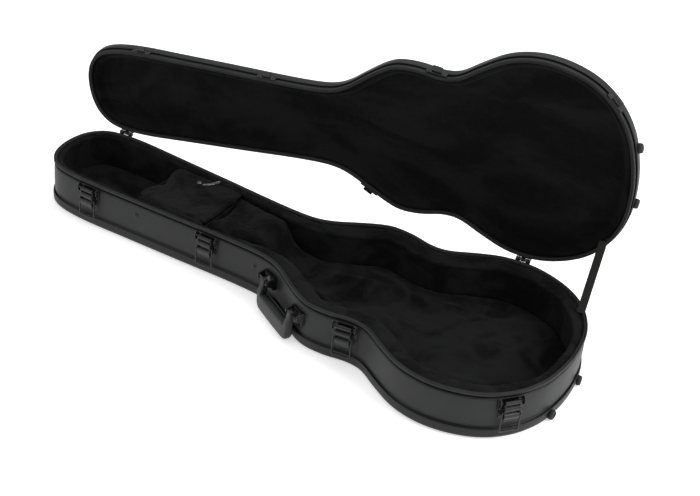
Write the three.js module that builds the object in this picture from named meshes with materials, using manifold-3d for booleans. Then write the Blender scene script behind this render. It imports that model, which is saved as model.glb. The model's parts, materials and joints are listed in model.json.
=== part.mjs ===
// A shaped hard-shell case for an electric guitar, open, with its lid standing on its strap.
// Millimetres, +Z up. The origin is the middle of the flat underside, +X points to the wide (butt) end,
// -Y to the side with the handle and latches, +Y to the side with the hinges.
import * as THREE from 'three';
import { mergeVertices } from 'three/addons/utils/BufferGeometryUtils.js';
import Module from 'manifold-3d';

const wasm = await Module();
wasm.setup();

// Driving dimensions of the shell
const BASE_DEPTH = 94; // underside to the parting plane
const LID_DEPTH = 32; // parting plane to the top of the lid
const SKIN = 3; // moulded cover thickness at its floor
const BAND_HEIGHT = 21; // upturned lip of each cover
const BAND_PROUD = 3.2; // how far that lip stands out from the side wall
const WALL_THICKNESS = 5;
const RIM_HEIGHT = 5.3;
const GAP = 0.3; // air kept between touching pieces
const LID_OPEN_ANGLE = 87; // degrees, where the strap is taut

// Half of the outline, from the butt end to the head end: distance along the case, half width
const HALF_OUTLINE = [
  [540, 0], [538.5, 30], [530, 79.5], [506.7, 128], [469.8, 166.3], [421.3, 189.9], [368.5, 198.9],
  [315.6, 190.9], [267.5, 167.1], [225, 143], [193.7, 139.9], [154, 147.5], [113.9, 147.8],
  [88.6, 138.9], [43, 110.4], [20.7, 95.5], [-3.6, 84], [-29.9, 78.4], [-83.6, 77.1], [-218, 82.6],
  [-325.5, 86.6], [-433, 89.8], [-486.3, 83.5], [-510.5, 72.2], [-528.1, 52], [-537.3, 27], [-540, 0],
];
const STEPS_PER_SPAN = 2;

// Padding between the side wall and the cavity: distance along the case, padding thickness
const PADDING = [
  [-540, 12], [-80, 10], [20, 16], [90, 24], [200, 30], [300, 28], [420, 27], [500, 22], [540, 14],
];
const PADDING_TOP = 87;
const FLOOR_PAD_TOP = 12;
const PLATFORM_TOP = 26;
const LID_FLOOR = 21; // parting plane to the lid's plush

// Accessory compartment and neck support, distances along the case
const COMPARTMENT_HEAD = -318;
const COMPARTMENT_TAIL = -164;
const NECK_BLOCK_END = 40;
const PARTITION_THICKNESS = 6;
const COMPARTMENT_LID = { bottom: 83.5, top: 90, hingeY: -61, hingeZ: 87 };

// Lid hinge line: it touches the bulge of the head end and of the lower bout
const HINGE_LINE = { y: 155.5, slope: 7.7 };
const HINGE_PLACES = [-470, 349];
const HINGE = { width: 28, knuckle: 3.5, pin: 1.5, leaf: 1.5, baseDrop: 24, lidRise: 9.8 };

// Draw latches: place along the case and side of the case
const LATCH_PLACES = [[-410, 'front'], [-146, 'front'], [187, 'front'], [497, 'front'], [50, 'back']];
const LATCH = {
  plateTop: 86, plateBottom: 44, halfTop: 23, halfBottom: 17, plate: 1.5, cheek: 20, cheekThickness: 1.5,
  leverHalf: 13.6, pivotOut: 5.2, pivotZ: 78.8, pin: 1.2, bailOut: 8.8, bailZ: 62, bailHalf: 16.6,
  bailLength: 40.5,
};
const CATCH = { half: 19, hookHalf: 9, bottom: 1, top: 10.2, armBottom: 4.5, armTop: 6, lipTop: 10.2 };

// Carrying handle: middle of its mounting line, that line's turn, and the two brackets
const HANDLE = {
  x: 46.1, y: -115.2, turn: -29.1, reach: 57, arm: 12.5, spread: 51, pivotOut: 11, pivotZ: 60, pin: 2.2,
  barTop: 38.5, bracketHalf: 17, bracketShift: 3.5, bracketBottom: 44, bracketTop: 69,
};

const FOOT = { radius: 9, height: 7, spread: 54, baseZ: 10.5, lidZ: 115.5 };
const STRAP = { baseX: 516, lidX: 500, width: 18, thickness: 1.6 };

const up = new THREE.Vector3(0, 0, 1);
const radians = THREE.MathUtils.degToRad;

// ---------- finishes ----------
const finish = (color, roughness, metalness) =>
  new THREE.MeshStandardMaterial({ color, roughness, metalness });
const shellFinish = () => finish(0x323436, 0.5, 0.05);
const rimFinish = () => finish(0x2a2c2e, 0.38, 0.3);
const hardwareFinish = () => finish(0x1f2123, 0.4, 0.6);
const plushFinish = () => finish(0x0e0e10, 0.95, 0);
const boardFinish = () => finish(0x1a1a1b, 0.8, 0);
const gripFinish = () => finish(0x3a3c3e, 0.55, 0);
const webbingFinish = () => finish(0x2c302d, 0.85, 0);
const rubberFinish = () => finish(0x181818, 0.8, 0);

// ---------- solids ----------
function toManifold(geometry) {
  const bare = geometry.clone();
  bare.deleteAttribute('normal');
  bare.deleteAttribute('uv');
  const merged = mergeVertices(bare, 1e-4);
  return new wasm.Manifold(new wasm.Mesh({
    numProp: 3,
    vertProperties: new Float32Array(merged.attributes.position.array),
    triVerts: new Uint32Array(merged.index.array),
  }));
}

function toGeometry(solid) {
  const mesh = solid.getMesh();
  const geometry = new THREE.BufferGeometry();
  geometry.setAttribute('position', new THREE.BufferAttribute(new Float32Array(mesh.vertProperties), 3));
  geometry.setIndex(new THREE.BufferAttribute(new Uint32Array(mesh.triVerts), 1));
  return geometry;
}

const joined = (...geometries) => toGeometry(geometries.map(toManifold).reduce((a, b) => a.add(b)));
const cut = (geometry, tool) => toGeometry(toManifold(geometry).subtract(toManifold(tool)));
const common = (a, b) => toGeometry(toManifold(a).intersect(toManifold(b)));

// A flat outline, always anticlockwise so that its holes are cut the right way
function polygon(points) {
  const corners = points.map(([x, y]) => new THREE.Vector2(x, y));
  return new THREE.Shape(THREE.ShapeUtils.isClockWise(corners) ? corners.reverse() : corners);
}

function withHole(shape, x, y, radius) {
  const corners = Array.from({ length: 12 }, (_, i) => {
    const angle = (-2 * Math.PI * (i + 0.5)) / 12;
    return new THREE.Vector2(x + radius * Math.cos(angle), y + radius * Math.sin(angle));
  });
  shape.holes.push(new THREE.Path(corners));
  return shape;
}

const extrude = (shape, depth, curveSegments = 6) =>
  new THREE.ExtrudeGeometry(shape, { depth, bevelEnabled: false, curveSegments });

// In a wall frame X runs along the wall, -Y points out of it and Z is up.
// A shape drawn as (outwards, up), pushed along the wall and centred on the frame
function alongWall(shape, width, centre = 0) {
  const geometry = extrude(shape, width);
  const basis = new THREE.Matrix4().makeBasis(
    new THREE.Vector3(0, -1, 0), new THREE.Vector3(0, 0, 1), new THREE.Vector3(-1, 0, 0));
  return geometry.applyMatrix4(basis).translate(centre + width / 2, 0, 0);
}

// A shape drawn as (along the wall, up), pushed outwards from a starting distance
const outFromWall = (shape, start, depth) =>
  extrude(shape, depth).rotateX(Math.PI / 2).translate(0, -start, 0);

const box = (x0, x1, y0, y1, z0, z1) =>
  new THREE.BoxGeometry(x1 - x0, y1 - y0, z1 - z0).translate((x0 + x1) / 2, (y0 + y1) / 2, (z0 + z1) / 2);

// A round bar along the local X axis
const barAlongX = (radius, length, sides = 12) =>
  new THREE.CylinderGeometry(radius, radius, length, sides).rotateZ(Math.PI / 2);

// A low domed rivet head that points outwards from a wall frame
function rivetHead(radius, along, out, height) {
  const dome = [[0, 0], [1, 0], [0.86, 0.32], [0.5, 0.5], [0, 0.56]];
  const head = new THREE.LatheGeometry(dome.map(([x, y]) => new THREE.Vector2(radius * x, radius * y)), 10);
  return head.rotateX(Math.PI).translate(along, -out, height);
}

// ---------- outline ----------
function makeStations() {
  const back = HALF_OUTLINE.slice(1, -1).map(([x, y]) => new THREE.Vector3(x, y, 0));
  const front = back.map((point) => new THREE.Vector3(point.x, -point.y, 0)).reverse();
  const butt = new THREE.Vector3(HALF_OUTLINE[0][0], 0, 0);
  const head = new THREE.Vector3(HALF_OUTLINE.at(-1)[0], 0, 0);
  const curve = new THREE.CatmullRomCurve3([butt, ...back, head, ...front], true, 'centripetal');
  const count = (2 * HALF_OUTLINE.length - 2) * STEPS_PER_SPAN;
  return Array.from({ length: count }, (_, i) => {
    const point = curve.getPoint(i / count);
    const tangent = curve.getTangent(i / count);
    return { x: point.x, y: point.y, nx: tangent.y, ny: -tangent.x };
  });
}
const stations = makeStations();

function tableValue(table, x) {
  const index = Math.max(1, table.findIndex(([end]) => x <= end));
  const [x0, v0] = table[index - 1];
  const [x1, v1] = table[index];
  return v0 + (v1 - v0) * THREE.MathUtils.clamp((x - x0) / (x1 - x0), 0, 1);
}

const paddingInner = (station) => -(WALL_THICKNESS + GAP + tableValue(PADDING, station.x));
const insidePadding = (gap) => (station) => paddingInner(station) - gap;

function ringPoints(offset) {
  return stations.map((station) => {
    const distance = typeof offset === 'function' ? offset(station) : offset;
    return new THREE.Vector2(station.x + station.nx * distance, station.y + station.ny * distance);
  });
}

// Sweeps a profile of [offset from the outline, height] round the case. A 'ring' profile closes on
// itself; a 'capped' one is filled at its first and last level.
function sweptShell(profile, kind) {
  const count = stations.length;
  const levels = profile.map(([offset, z]) => ({ points: ringPoints(offset), z }));
  const positions = levels.flatMap(({ points, z }) => points.flatMap((point) => [point.x, point.y, z]));
  const indices = [];
  const spans = kind === 'ring' ? levels.length : levels.length - 1;
  for (let level = 0; level < spans; level += 1) {
    const here = level * count;
    const next = ((level + 1) % levels.length) * count;
    for (let i = 0; i < count; i += 1) {
      const j = (i + 1) % count;
      indices.push(here + i, here + j, next + j, here + i, next + j, next + i);
    }
  }
  if (kind === 'capped') {
    const last = levels.length - 1;
    for (const [a, b, c] of THREE.ShapeUtils.triangulateShape(levels[0].points, [])) {
      indices.push(b, a, c);
    }
    for (const [a, b, c] of THREE.ShapeUtils.triangulateShape(levels[last].points, [])) {
      indices.push(last * count + a, last * count + b, last * count + c);
    }
  }
  const geometry = new THREE.BufferGeometry();
  geometry.setAttribute('position', new THREE.Float32BufferAttribute(positions, 3));
  geometry.setIndex(indices);
  return facingOut(geometry);
}

// Turns every triangle over when the solid was built inside out
function facingOut(geometry) {
  const place = geometry.attributes.position;
  const index = geometry.index.array;
  const corner = [new THREE.Vector3(), new THREE.Vector3(), new THREE.Vector3()];
  let volume = 0;
  for (let i = 0; i < index.length; i += 3) {
    corner.forEach((vector, k) => vector.fromBufferAttribute(place, index[i + k]));
    volume += corner[0].dot(corner[1].cross(corner[2]));
  }
  if (volume < 0) {
    for (let i = 0; i < index.length; i += 3) {
      [index[i], index[i + 1]] = [index[i + 1], index[i]];
    }
  }
  return geometry;
}

// Where the outline passes a given distance along the case, with its direction there
function wallPoint(x, side) {
  const wanted = side === 'front' ? -1 : 1;
  for (let i = 0; i < stations.length; i += 1) {
    const a = stations[i];
    const b = stations[(i + 1) % stations.length];
    const inSpan = (a.x - x) * (b.x - x) <= 0 && (a.y + b.y) * wanted > 0;
    if (inSpan) {
      const part = (x - a.x) / (b.x - a.x);
      const turn = Math.atan2(b.y - a.y, b.x - a.x);
      return { x, y: a.y + (b.y - a.y) * part, turn };
    }
  }
  throw new Error(`no wall at ${x}`);
}

// How far the wall bulges out past a frame within half a width of its middle
function bulge(frame, halfWidth, middle = 0) {
  const along = new THREE.Vector2(Math.cos(frame.turn), Math.sin(frame.turn));
  const out = new THREE.Vector2(along.y, -along.x);
  let most = 0;
  for (let i = 0; i < stations.length; i += 1) {
    const a = stations[i];
    const b = stations[(i + 1) % stations.length];
    for (let part = 0; part < 1; part += 0.125) {
      const offset = new THREE.Vector2(a.x, a.y).lerp(new THREE.Vector2(b.x, b.y), part);
      offset.sub(new THREE.Vector2(frame.x, frame.y));
      const distance = offset.dot(out);
      const isNear = Math.abs(offset.dot(along) - middle) <= halfWidth && Math.abs(distance) < 40;
      most = isNear ? Math.max(most, distance) : most;
    }
  }
  return most;
}

// A group whose X runs along the wall and whose -Y points out of it, clear of the wall's bulge
function wallGroup(frame, halfWidth) {
  const group = new THREE.Group();
  const stand = bulge(frame, halfWidth) + GAP;
  group.position.set(frame.x + Math.sin(frame.turn) * stand, frame.y - Math.cos(frame.turn) * stand, 0);
  group.rotation.z = frame.turn;
  return group;
}

const guitarCase = new THREE.Group();

// Hinge axis, and the group that carries everything on the lid, turned open about that axis
const hingeTurn = radians(HINGE_LINE.slope);
const hingeDirection = new THREE.Vector3(Math.cos(hingeTurn), Math.sin(hingeTurn), 0);
const lidSwing = new THREE.Group();
lidSwing.position.set(0, HINGE_LINE.y, BASE_DEPTH);
lidSwing.quaternion.setFromAxisAngle(hingeDirection, -radians(LID_OPEN_ANGLE));
const lid = new THREE.Group();
lid.position.set(0, -HINGE_LINE.y, -BASE_DEPTH);
lidSwing.add(lid);
guitarCase.add(lidSwing);

function add(parent, name, geometry, material) {
  const mesh = new THREE.Mesh(geometry, material);
  mesh.name = name;
  parent.add(mesh);
  return mesh;
}

// ---------- base shell ----------
// A moulded cover is a flat panel with a rounded edge, and an upturned lip that carries on from it
const EDGE_RADIUS = 8;
function edgePoint(depth) {
  // Offset of the rounded edge at a depth under the flat face
  const reach = EDGE_RADIUS - Math.min(depth, EDGE_RADIUS);
  return BAND_PROUD - EDGE_RADIUS + Math.sqrt(EDGE_RADIUS ** 2 - reach ** 2);
}
const edgeLevels = (depths, flatZ, direction) =>
  depths.map((depth) => [edgePoint(depth), flatZ + direction * depth]);

function addCover(parent, name, flatZ, direction) {
  const panel = edgeLevels([0, 0.6, SKIN], flatZ, direction);
  const lipTop = flatZ + direction * BAND_HEIGHT;
  const lip = [
    [GAP, flatZ + direction * (SKIN + GAP)], [GAP, lipTop], [BAND_PROUD, lipTop],
    ...edgeLevels([8, 5, SKIN + GAP], flatZ, direction),
  ];
  add(parent, name, sweptShell(panel, 'capped'), shellFinish());
  add(parent, `${name}_lip`, sweptShell(lip, 'ring'), shellFinish());
}
const wallTop = BASE_DEPTH - RIM_HEIGHT - 0.4;
const rimProfile = (low, high, edge) => [
  [0.9, low], [0.9, high - edge * 0.9], [0.1, high], [-2.2, high], [-3.4, high - edge * 1.6],
  [-4.6, high], [-6.4, high - edge * 0.5], [-6.4, low],
];

addCover(guitarCase, 'bottom_cover', 0, 1);
add(guitarCase, 'base_side_wall', sweptShell([
  [0, SKIN + GAP], [0, wallTop - GAP], [-WALL_THICKNESS, wallTop - GAP], [-WALL_THICKNESS, SKIN + GAP],
], 'ring'), shellFinish());
add(guitarCase, 'base_rim', sweptShell(rimProfile(wallTop, BASE_DEPTH - 0.4, 1), 'ring'), rimFinish());

// ---------- base padding ----------
add(guitarCase, 'wall_padding', sweptShell([
  [-WALL_THICKNESS - GAP, FLOOR_PAD_TOP + GAP], [-WALL_THICKNESS - GAP, PADDING_TOP],
  [paddingInner, PADDING_TOP], [paddingInner, FLOOR_PAD_TOP + GAP],
], 'ring'), plushFinish());
add(guitarCase, 'floor_pad', sweptShell([
  [-WALL_THICKNESS - GAP, SKIN + GAP], [-WALL_THICKNESS - GAP, FLOOR_PAD_TOP],
], 'capped'), plushFinish());

// Plan of the space inside the padding between two distances along the case
function insidePlan(start, end) {
  const inner = polygon(ringPoints(insidePadding(GAP)).map((point) => [point.x, point.y]));
  const height = BASE_DEPTH;
  return common(extrude(inner, height), box(start, end, -250, 250, -1, height + 1));
}

const platform = common(
  insidePlan(NECK_BLOCK_END + 8, 560), box(0, 560, -250, 250, FLOOR_PAD_TOP + GAP, PLATFORM_TOP));
add(guitarCase, 'body_platform', platform, plushFinish());

const neckBlockSide = new THREE.Shape();
neckBlockSide.moveTo(COMPARTMENT_TAIL + GAP, FLOOR_PAD_TOP + GAP);
neckBlockSide.lineTo(NECK_BLOCK_END, FLOOR_PAD_TOP + GAP);
neckBlockSide.bezierCurveTo(NECK_BLOCK_END - 12, 40, -30, 48, -52, 84);
neckBlockSide.quadraticCurveTo(-57, 89, -68, 88.5);
neckBlockSide.quadraticCurveTo(-115, 80, COMPARTMENT_TAIL + GAP, 88);
const neckBlockBar = extrude(neckBlockSide, 300).rotateX(Math.PI / 2).translate(0, 150, 0);
const neckBlock = common(insidePlan(COMPARTMENT_TAIL, NECK_BLOCK_END + 1), neckBlockBar);
add(guitarCase, 'neck_block', neckBlock, plushFinish());

// ---------- accessory compartment ----------
const partitionTop = COMPARTMENT_LID.bottom - 0.5;
function partition(start) {
  const slab = box(start, start + PARTITION_THICKNESS, -120, 120, FLOOR_PAD_TOP + GAP, partitionTop);
  return common(insidePlan(start - 1, start + PARTITION_THICKNESS + 1), slab);
}
add(guitarCase, 'compartment_head_wall', partition(COMPARTMENT_HEAD), boardFinish());
const tailWallStart = COMPARTMENT_TAIL - PARTITION_THICKNESS - GAP;
add(guitarCase, 'compartment_tail_wall', partition(tailWallStart), boardFinish());
const lidSlab = box(COMPARTMENT_HEAD, COMPARTMENT_TAIL - 1, COMPARTMENT_LID.hingeY + 2, 63,
  COMPARTMENT_LID.bottom, COMPARTMENT_LID.top);
add(guitarCase, 'compartment_lid', lidSlab, plushFinish());
add(guitarCase, 'compartment_lid_hinge', box(COMPARTMENT_HEAD + 4, COMPARTMENT_TAIL - 5,
  COMPARTMENT_LID.hingeY - 2.9, COMPARTMENT_LID.hingeY + 1.3,
  COMPARTMENT_LID.hingeZ - 0.6, COMPARTMENT_LID.hingeZ + 0.6), plushFinish());

// Pull: a stud and a bowed tab that lies askew on top of the compartment lid
const pull = new THREE.Group();
pull.position.set(-254, 39, COMPARTMENT_LID.top + GAP);
pull.rotation.z = radians(50);
guitarCase.add(pull);
const pullStud = new THREE.CylinderGeometry(4.5, 5.5, 3, 12).rotateX(Math.PI / 2);
add(pull, 'pull_stud', pullStud.translate(0, 0, 1.5), gripFinish());
const tabSide = new THREE.Shape();
tabSide.moveTo(6.5, 0);
tabSide.quadraticCurveTo(20, 7, 34, 0);
tabSide.lineTo(34, 2);
tabSide.quadraticCurveTo(20, 9.5, 6.5, 2.2);
const tab = extrude(tabSide, 8).rotateX(Math.PI / 2).translate(0, 4, 0);
add(pull, 'pull_tab', tab, gripFinish());

// ---------- lid shell ----------
const lidZ = (rise) => BASE_DEPTH + rise;
addCover(lid, 'lid_cover', lidZ(LID_DEPTH), -1);
add(lid, 'lid_side_wall', sweptShell([
  [0, lidZ(RIM_HEIGHT + 0.4 + GAP)], [0, lidZ(LID_DEPTH - SKIN - GAP)],
  [-WALL_THICKNESS, lidZ(LID_DEPTH - SKIN - GAP)], [-WALL_THICKNESS, lidZ(RIM_HEIGHT + 0.4 + GAP)],
], 'ring'), shellFinish());
add(lid, 'lid_rim', sweptShell(rimProfile(lidZ(RIM_HEIGHT + 0.4), lidZ(0.4), -1), 'ring'), rimFinish());
add(lid, 'lid_padding', sweptShell([
  [-WALL_THICKNESS - GAP, lidZ(LID_FLOOR)], [-WALL_THICKNESS - GAP, lidZ(LID_DEPTH - SKIN - GAP)],
], 'capped'), plushFinish());

// ---------- hinges ----------
// In a hinge group X runs along the pin, -Y points away from the case and the pin is at the origin
function hingeGroup(parent, x) {
  const group = new THREE.Group();
  group.position.set(x, HINGE_LINE.y + x * Math.tan(radians(HINGE_LINE.slope)), BASE_DEPTH);
  group.rotation.z = radians(HINGE_LINE.slope) + Math.PI;
  parent.add(group);
  return group;
}

const leafBack = 2.9;
const third = HINGE.width / 3;
function leaf(bottom, top, knuckleCentres, knuckleLength) {
  const plate = box(-HINGE.width / 2, HINGE.width / 2, leafBack - HINGE.leaf, leafBack, bottom, top);
  const [lugLow, lugHigh] = bottom < 0 ? [bottom, 1.5] : [-1.5, top];
  const lugs = knuckleCentres.map((centre) => box(centre - knuckleLength / 2, centre + knuckleLength / 2,
    leafBack - HINGE.leaf, leafBack, lugLow, lugHigh));
  const rivetOut = HINGE.leaf - leafBack - 0.2;
  const rivets = [-8, 8].map((along) => rivetHead(2.6, along, rivetOut, (bottom + top) / 2));
  const knuckles = knuckleCentres.map((centre) =>
    barAlongX(HINGE.knuckle, knuckleLength).translate(centre, 0, 0));
  return joined(plate, ...lugs, ...knuckles, ...rivets);
}

HINGE_PLACES.forEach((x, i) => {
  const onBase = hingeGroup(guitarCase, x);
  const onLid = hingeGroup(lid, x);
  const side = third - 0.4;
  // The pin is peened into the two outer knuckles, so it is one solid with the leaf on the base
  const pin = barAlongX(HINGE.pin, HINGE.width + 2);
  const bore = barAlongX(HINGE.pin + GAP, HINGE.width + 4);
  const baseLeaf = joined(leaf(-HINGE.baseDrop, -4, [-third, third], side), pin);
  add(onBase, `hinge_${i + 1}_base_leaf`, baseLeaf, hardwareFinish());
  add(onLid, `hinge_${i + 1}_lid_leaf`, cut(leaf(4, HINGE.lidRise, [0], side), bore), hardwareFinish());
});

// ---------- draw latches ----------
const latchPlate = () => {
  const shape = polygon([
    [-LATCH.halfBottom, LATCH.plateBottom], [LATCH.halfBottom, LATCH.plateBottom],
    [LATCH.halfTop, 66], [LATCH.halfTop, LATCH.plateTop], [-LATCH.halfTop, LATCH.plateTop],
    [-LATCH.halfTop, 66],
  ]);
  const cheekShape = () => withHole(polygon([
    [0.4, 68], [5, 70], [8.6, 75], [8.6, 82], [6, 85], [0.4, 85.5],
  ]), LATCH.pivotOut, LATCH.pivotZ, LATCH.pin + GAP);
  const cheeks = [-1, 1].map((hand) =>
    alongWall(cheekShape(), LATCH.cheekThickness, hand * (LATCH.cheek + LATCH.cheekThickness / 2)));
  const rivet = rivetHead(2.6, 0, LATCH.plate - 0.2, 48);
  return joined(outFromWall(shape, 0, LATCH.plate), rivet, ...cheeks);
};

const latchLever = () => {
  const shape = polygon([
    [5.2, 81.9], [7.4, 81], [8.3, 78.6], [8, 74], [8.8, 68], [11, 65.4], [12.4, 62], [11.4, 58.8], [8.9, 56],
    [8.3, 50], [10.6, 43.4], [9.6, 42.2], [6.4, 49], [6.4, 55.6], [5.2, 60], [5.4, 66], [5.6, 72],
    [3, 76.5], [2.3, 78.8], [3.1, 81],
  ]);
  withHole(shape, LATCH.pivotOut, LATCH.pivotZ, LATCH.pin + GAP);
  withHole(shape, LATCH.bailOut, LATCH.bailZ, 2.1);
  return alongWall(shape, 2 * LATCH.leverHalf);
};

// A flat wire bent in a plane: an oval section carried round the corners of a path of [along, up]
function bentWire(path, out, halfWidth, halfDepth) {
  const sides = 8;
  const positions = [];
  const indices = [];
  path.forEach(([x, z], i) => {
    const here = new THREE.Vector2(x, z);
    const before = i > 0 ? here.clone().sub(new THREE.Vector2(...path[i - 1])).normalize() : null;
    const after = i < path.length - 1 ? new THREE.Vector2(...path[i + 1]).sub(here).normalize() : null;
    const direction = (before ?? after).clone().add(after ?? before).normalize();
    const stretch = 1 / Math.max(0.5, direction.dot(before ?? after));
    for (let k = 0; k < sides; k += 1) {
      const angle = (2 * Math.PI * (k + 0.5)) / sides;
      const reach = halfWidth * Math.cos(angle) * stretch;
      positions.push(x - direction.y * reach, -out - halfDepth * Math.sin(angle), z + direction.x * reach);
    }
  });
  for (let i = 0; i < path.length - 1; i += 1) {
    for (let k = 0; k < sides; k += 1) {
      const next = (k + 1) % sides;
      const a = i * sides;
      indices.push(a + k, a + next, a + sides + next, a + k, a + sides + next, a + sides + k);
    }
  }
  const last = (path.length - 1) * sides;
  for (let k = 1; k < sides - 1; k += 1) {
    indices.push(0, k + 1, k, last, last + k, last + k + 1);
  }
  const geometry = new THREE.BufferGeometry();
  geometry.setAttribute('position', new THREE.Float32BufferAttribute(positions, 3));
  geometry.setIndex(indices);
  return facingOut(geometry);
}

const latchBail = () => {
  const reach = LATCH.bailHalf;
  const top = LATCH.bailZ;
  const bottom = top - LATCH.bailLength;
  const half = [
    [11, top], [reach - 2, top], [reach - 0.6, top - 0.6], [reach, top - 2], [reach, bottom + 4],
    [reach - 1.2, bottom + 1.2], [reach - 4, bottom],
  ];
  const path = [...half, ...half.map(([x, z]) => [-x, z]).reverse()];
  return bentWire(path, LATCH.bailOut, 1.8, 1.3);
};

const lidCatch = () => {
  const plate = polygon([[-CATCH.half, lidZ(CATCH.bottom)], [CATCH.half, lidZ(CATCH.bottom)],
    [CATCH.half, lidZ(CATCH.top)], [-CATCH.half, lidZ(CATCH.top)]]);
  const hook = polygon([
    [0.8, lidZ(CATCH.armBottom)], [11.4, lidZ(CATCH.armBottom)], [11.9, lidZ(CATCH.armTop)],
    [11.9, lidZ(CATCH.lipTop)], [10.8, lidZ(CATCH.lipTop)], [10.6, lidZ(CATCH.armTop)],
    [0.8, lidZ(CATCH.armTop)],
  ]);
  const rivets = [-14, 14].map((along) => rivetHead(2.2, along, 0.7 + LATCH.plate, lidZ(5.6)));
  return joined(outFromWall(plate, 0.9, LATCH.plate), alongWall(hook, 2 * CATCH.hookHalf), ...rivets);
};

const latchPinLength = 2 * (LATCH.cheek + LATCH.cheekThickness) + 1.6;
LATCH_PLACES.forEach(([x, side], i) => {
  const frame = wallPoint(x, side);
  const onBase = wallGroup(frame, LATCH.halfTop);
  const onLid = wallGroup(frame, LATCH.halfTop);
  guitarCase.add(onBase);
  lid.add(onLid);
  const pin = barAlongX(LATCH.pin, latchPinLength, 10).translate(0, -LATCH.pivotOut, LATCH.pivotZ);
  add(onBase, `latch_${i + 1}_plate`, latchPlate(), hardwareFinish());
  add(onBase, `latch_${i + 1}_pin`, pin, hardwareFinish());
  add(onBase, `latch_${i + 1}_lever`, latchLever(), hardwareFinish());
  add(onBase, `latch_${i + 1}_bail`, latchBail(), hardwareFinish());
  add(onLid, `lid_catch_${i + 1}`, lidCatch(), hardwareFinish());
});

// ---------- carrying handle ----------
const handleFrame = { x: HANDLE.x, y: HANDLE.y, turn: radians(HANDLE.turn) };
const handleGroup = wallGroup(handleFrame, HANDLE.spread + 24);
guitarCase.add(handleGroup);
guitarCase.updateMatrixWorld(true);

// How far the wall stands back behind the handle's frame at a place along it
function wallSetback(along) {
  const local = stations.map(({ x, y }) => handleGroup.worldToLocal(new THREE.Vector3(x, y, 0)));
  const spans = local.map((point, i) => [point, local[(i + 1) % local.length]]);
  const [a, b] = spans.find(([p, q]) =>
    (p.x - along) * (q.x - along) <= 0 && p.x !== q.x && Math.abs(p.y) < 40);
  return a.y + (b.y - a.y) * ((along - a.x) / (b.x - a.x));
}

// A plate that sits flush on the curved wall, with two ears that carry the pin
function handleBracket(centre) {
  const start = centre - HANDLE.bracketHalf;
  const end = centre + HANDLE.bracketHalf;
  const back = Array.from({ length: 7 }, (_, i) => start + ((end - start) * i) / 6)
    .map((along) => [along, wallSetback(along) - GAP]);
  const plan = polygon([...back, [end, -2], [start, -2]]);
  const plate = extrude(plan, HANDLE.bracketTop - HANDLE.bracketBottom).translate(0, 0, HANDLE.bracketBottom);
  const ear = () => withHole(polygon([
    [1, 50], [7, 52], [13, 54.5], [15.5, 58], [15.5, 62], [13, 65.5], [1, 68.5],
  ]), HANDLE.pivotOut, HANDLE.pivotZ, HANDLE.pin + GAP);
  const earPlace = HANDLE.bracketHalf - 1.5;
  const ears = [-earPlace, earPlace].map((offset) => alongWall(ear(), 3, centre + offset));
  const rivets = [-6, 6].map((offset) => rivetHead(2.4, centre + offset, 1.8, 48));
  return joined(plate, ...ears, ...rivets);
}

// The grip seen from the front: two arms and a deep bar between them
function gripFront() {
  const { reach, arm, barTop } = HANDLE;
  const top = 66;
  const bottom = 3.4;
  const inner = reach - arm;
  const shape = new THREE.Shape();
  shape.moveTo(-reach, top);
  shape.lineTo(-reach, bottom + 14);
  shape.quadraticCurveTo(-reach, bottom, -reach + 16, bottom);
  shape.lineTo(reach - 16, bottom);
  shape.quadraticCurveTo(reach, bottom, reach, bottom + 14);
  shape.lineTo(reach, top);
  shape.lineTo(inner, top);
  shape.lineTo(inner, barTop + 5);
  shape.quadraticCurveTo(inner, barTop, inner - 6, barTop);
  shape.lineTo(6 - inner, barTop);
  shape.quadraticCurveTo(-inner, barTop, -inner, barTop + 5);
  shape.lineTo(-inner, top);
  return shape;
}

// The grip seen from its end: thin arms that swell outwards into the bar
const GRIP_SIDE = [
  [16.5, 57], [20, 48], [23.4, 38], [24.6, 24], [23.6, 9], [20.5, 4.4], [15, 3.4], [10.5, 4.6], [8, 8],
  [7, 26], [6.4, 46], [5.6, 62], [8, 65], [11, 66], [14.5, 65], [16.8, 61.5],
];

function handleGrip() {
  const front = outFromWall(gripFront(), 0, 30);
  const side = alongWall(polygon(GRIP_SIDE), 2 * HANDLE.reach + 2);
  const bore = barAlongX(HANDLE.pin + GAP, 2 * HANDLE.reach + 10);
  return cut(common(front, side), bore.translate(0, -HANDLE.pivotOut, HANDLE.pivotZ));
}

add(handleGroup, 'handle_grip', handleGrip(), gripFinish());
[-1, 1].forEach((hand, i) => {
  const centre = hand * (HANDLE.spread + HANDLE.bracketShift);
  const pin = barAlongX(HANDLE.pin, 2 * HANDLE.bracketHalf + 1.6).translate(centre, 0, 0);
  add(handleGroup, `handle_bracket_${i + 1}`, handleBracket(centre), hardwareFinish());
  pin.translate(0, -HANDLE.pivotOut, HANDLE.pivotZ);
  add(handleGroup, `handle_pin_${i + 1}`, pin, hardwareFinish());
});

// ---------- bumper feet on the butt end ----------
function buttFrame(y) {
  const near = stations.filter((station) => station.x > 400);
  near.sort((a, b) => Math.abs(a.y - y) - Math.abs(b.y - y));
  const [first] = near;
  return { x: first.x, y: first.y, turn: Math.atan2(first.nx, -first.ny) };
}

function footSolid() {
  const { radius, height } = FOOT;
  const profile = [[0, 0], [radius, 0], [radius, 3], [radius - 1.6, height], [3.5, height], [3.5, 4], [0, 4]];
  const solid = new THREE.LatheGeometry(profile.map(([x, y]) => new THREE.Vector2(x, y)), 18);
  return solid.rotateX(Math.PI);
}

[-FOOT.spread, FOOT.spread].forEach((y, i) => {
  for (const [half, parent, z] of [['base', guitarCase, FOOT.baseZ], ['lid', lid, FOOT.lidZ]]) {
    const group = wallGroup(buttFrame(y), FOOT.radius);
    parent.add(group);
    add(group, `${half}_foot_${i + 1}`, footSolid().translate(0, -BAND_PROUD, z), rubberFinish());
  }
});

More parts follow.
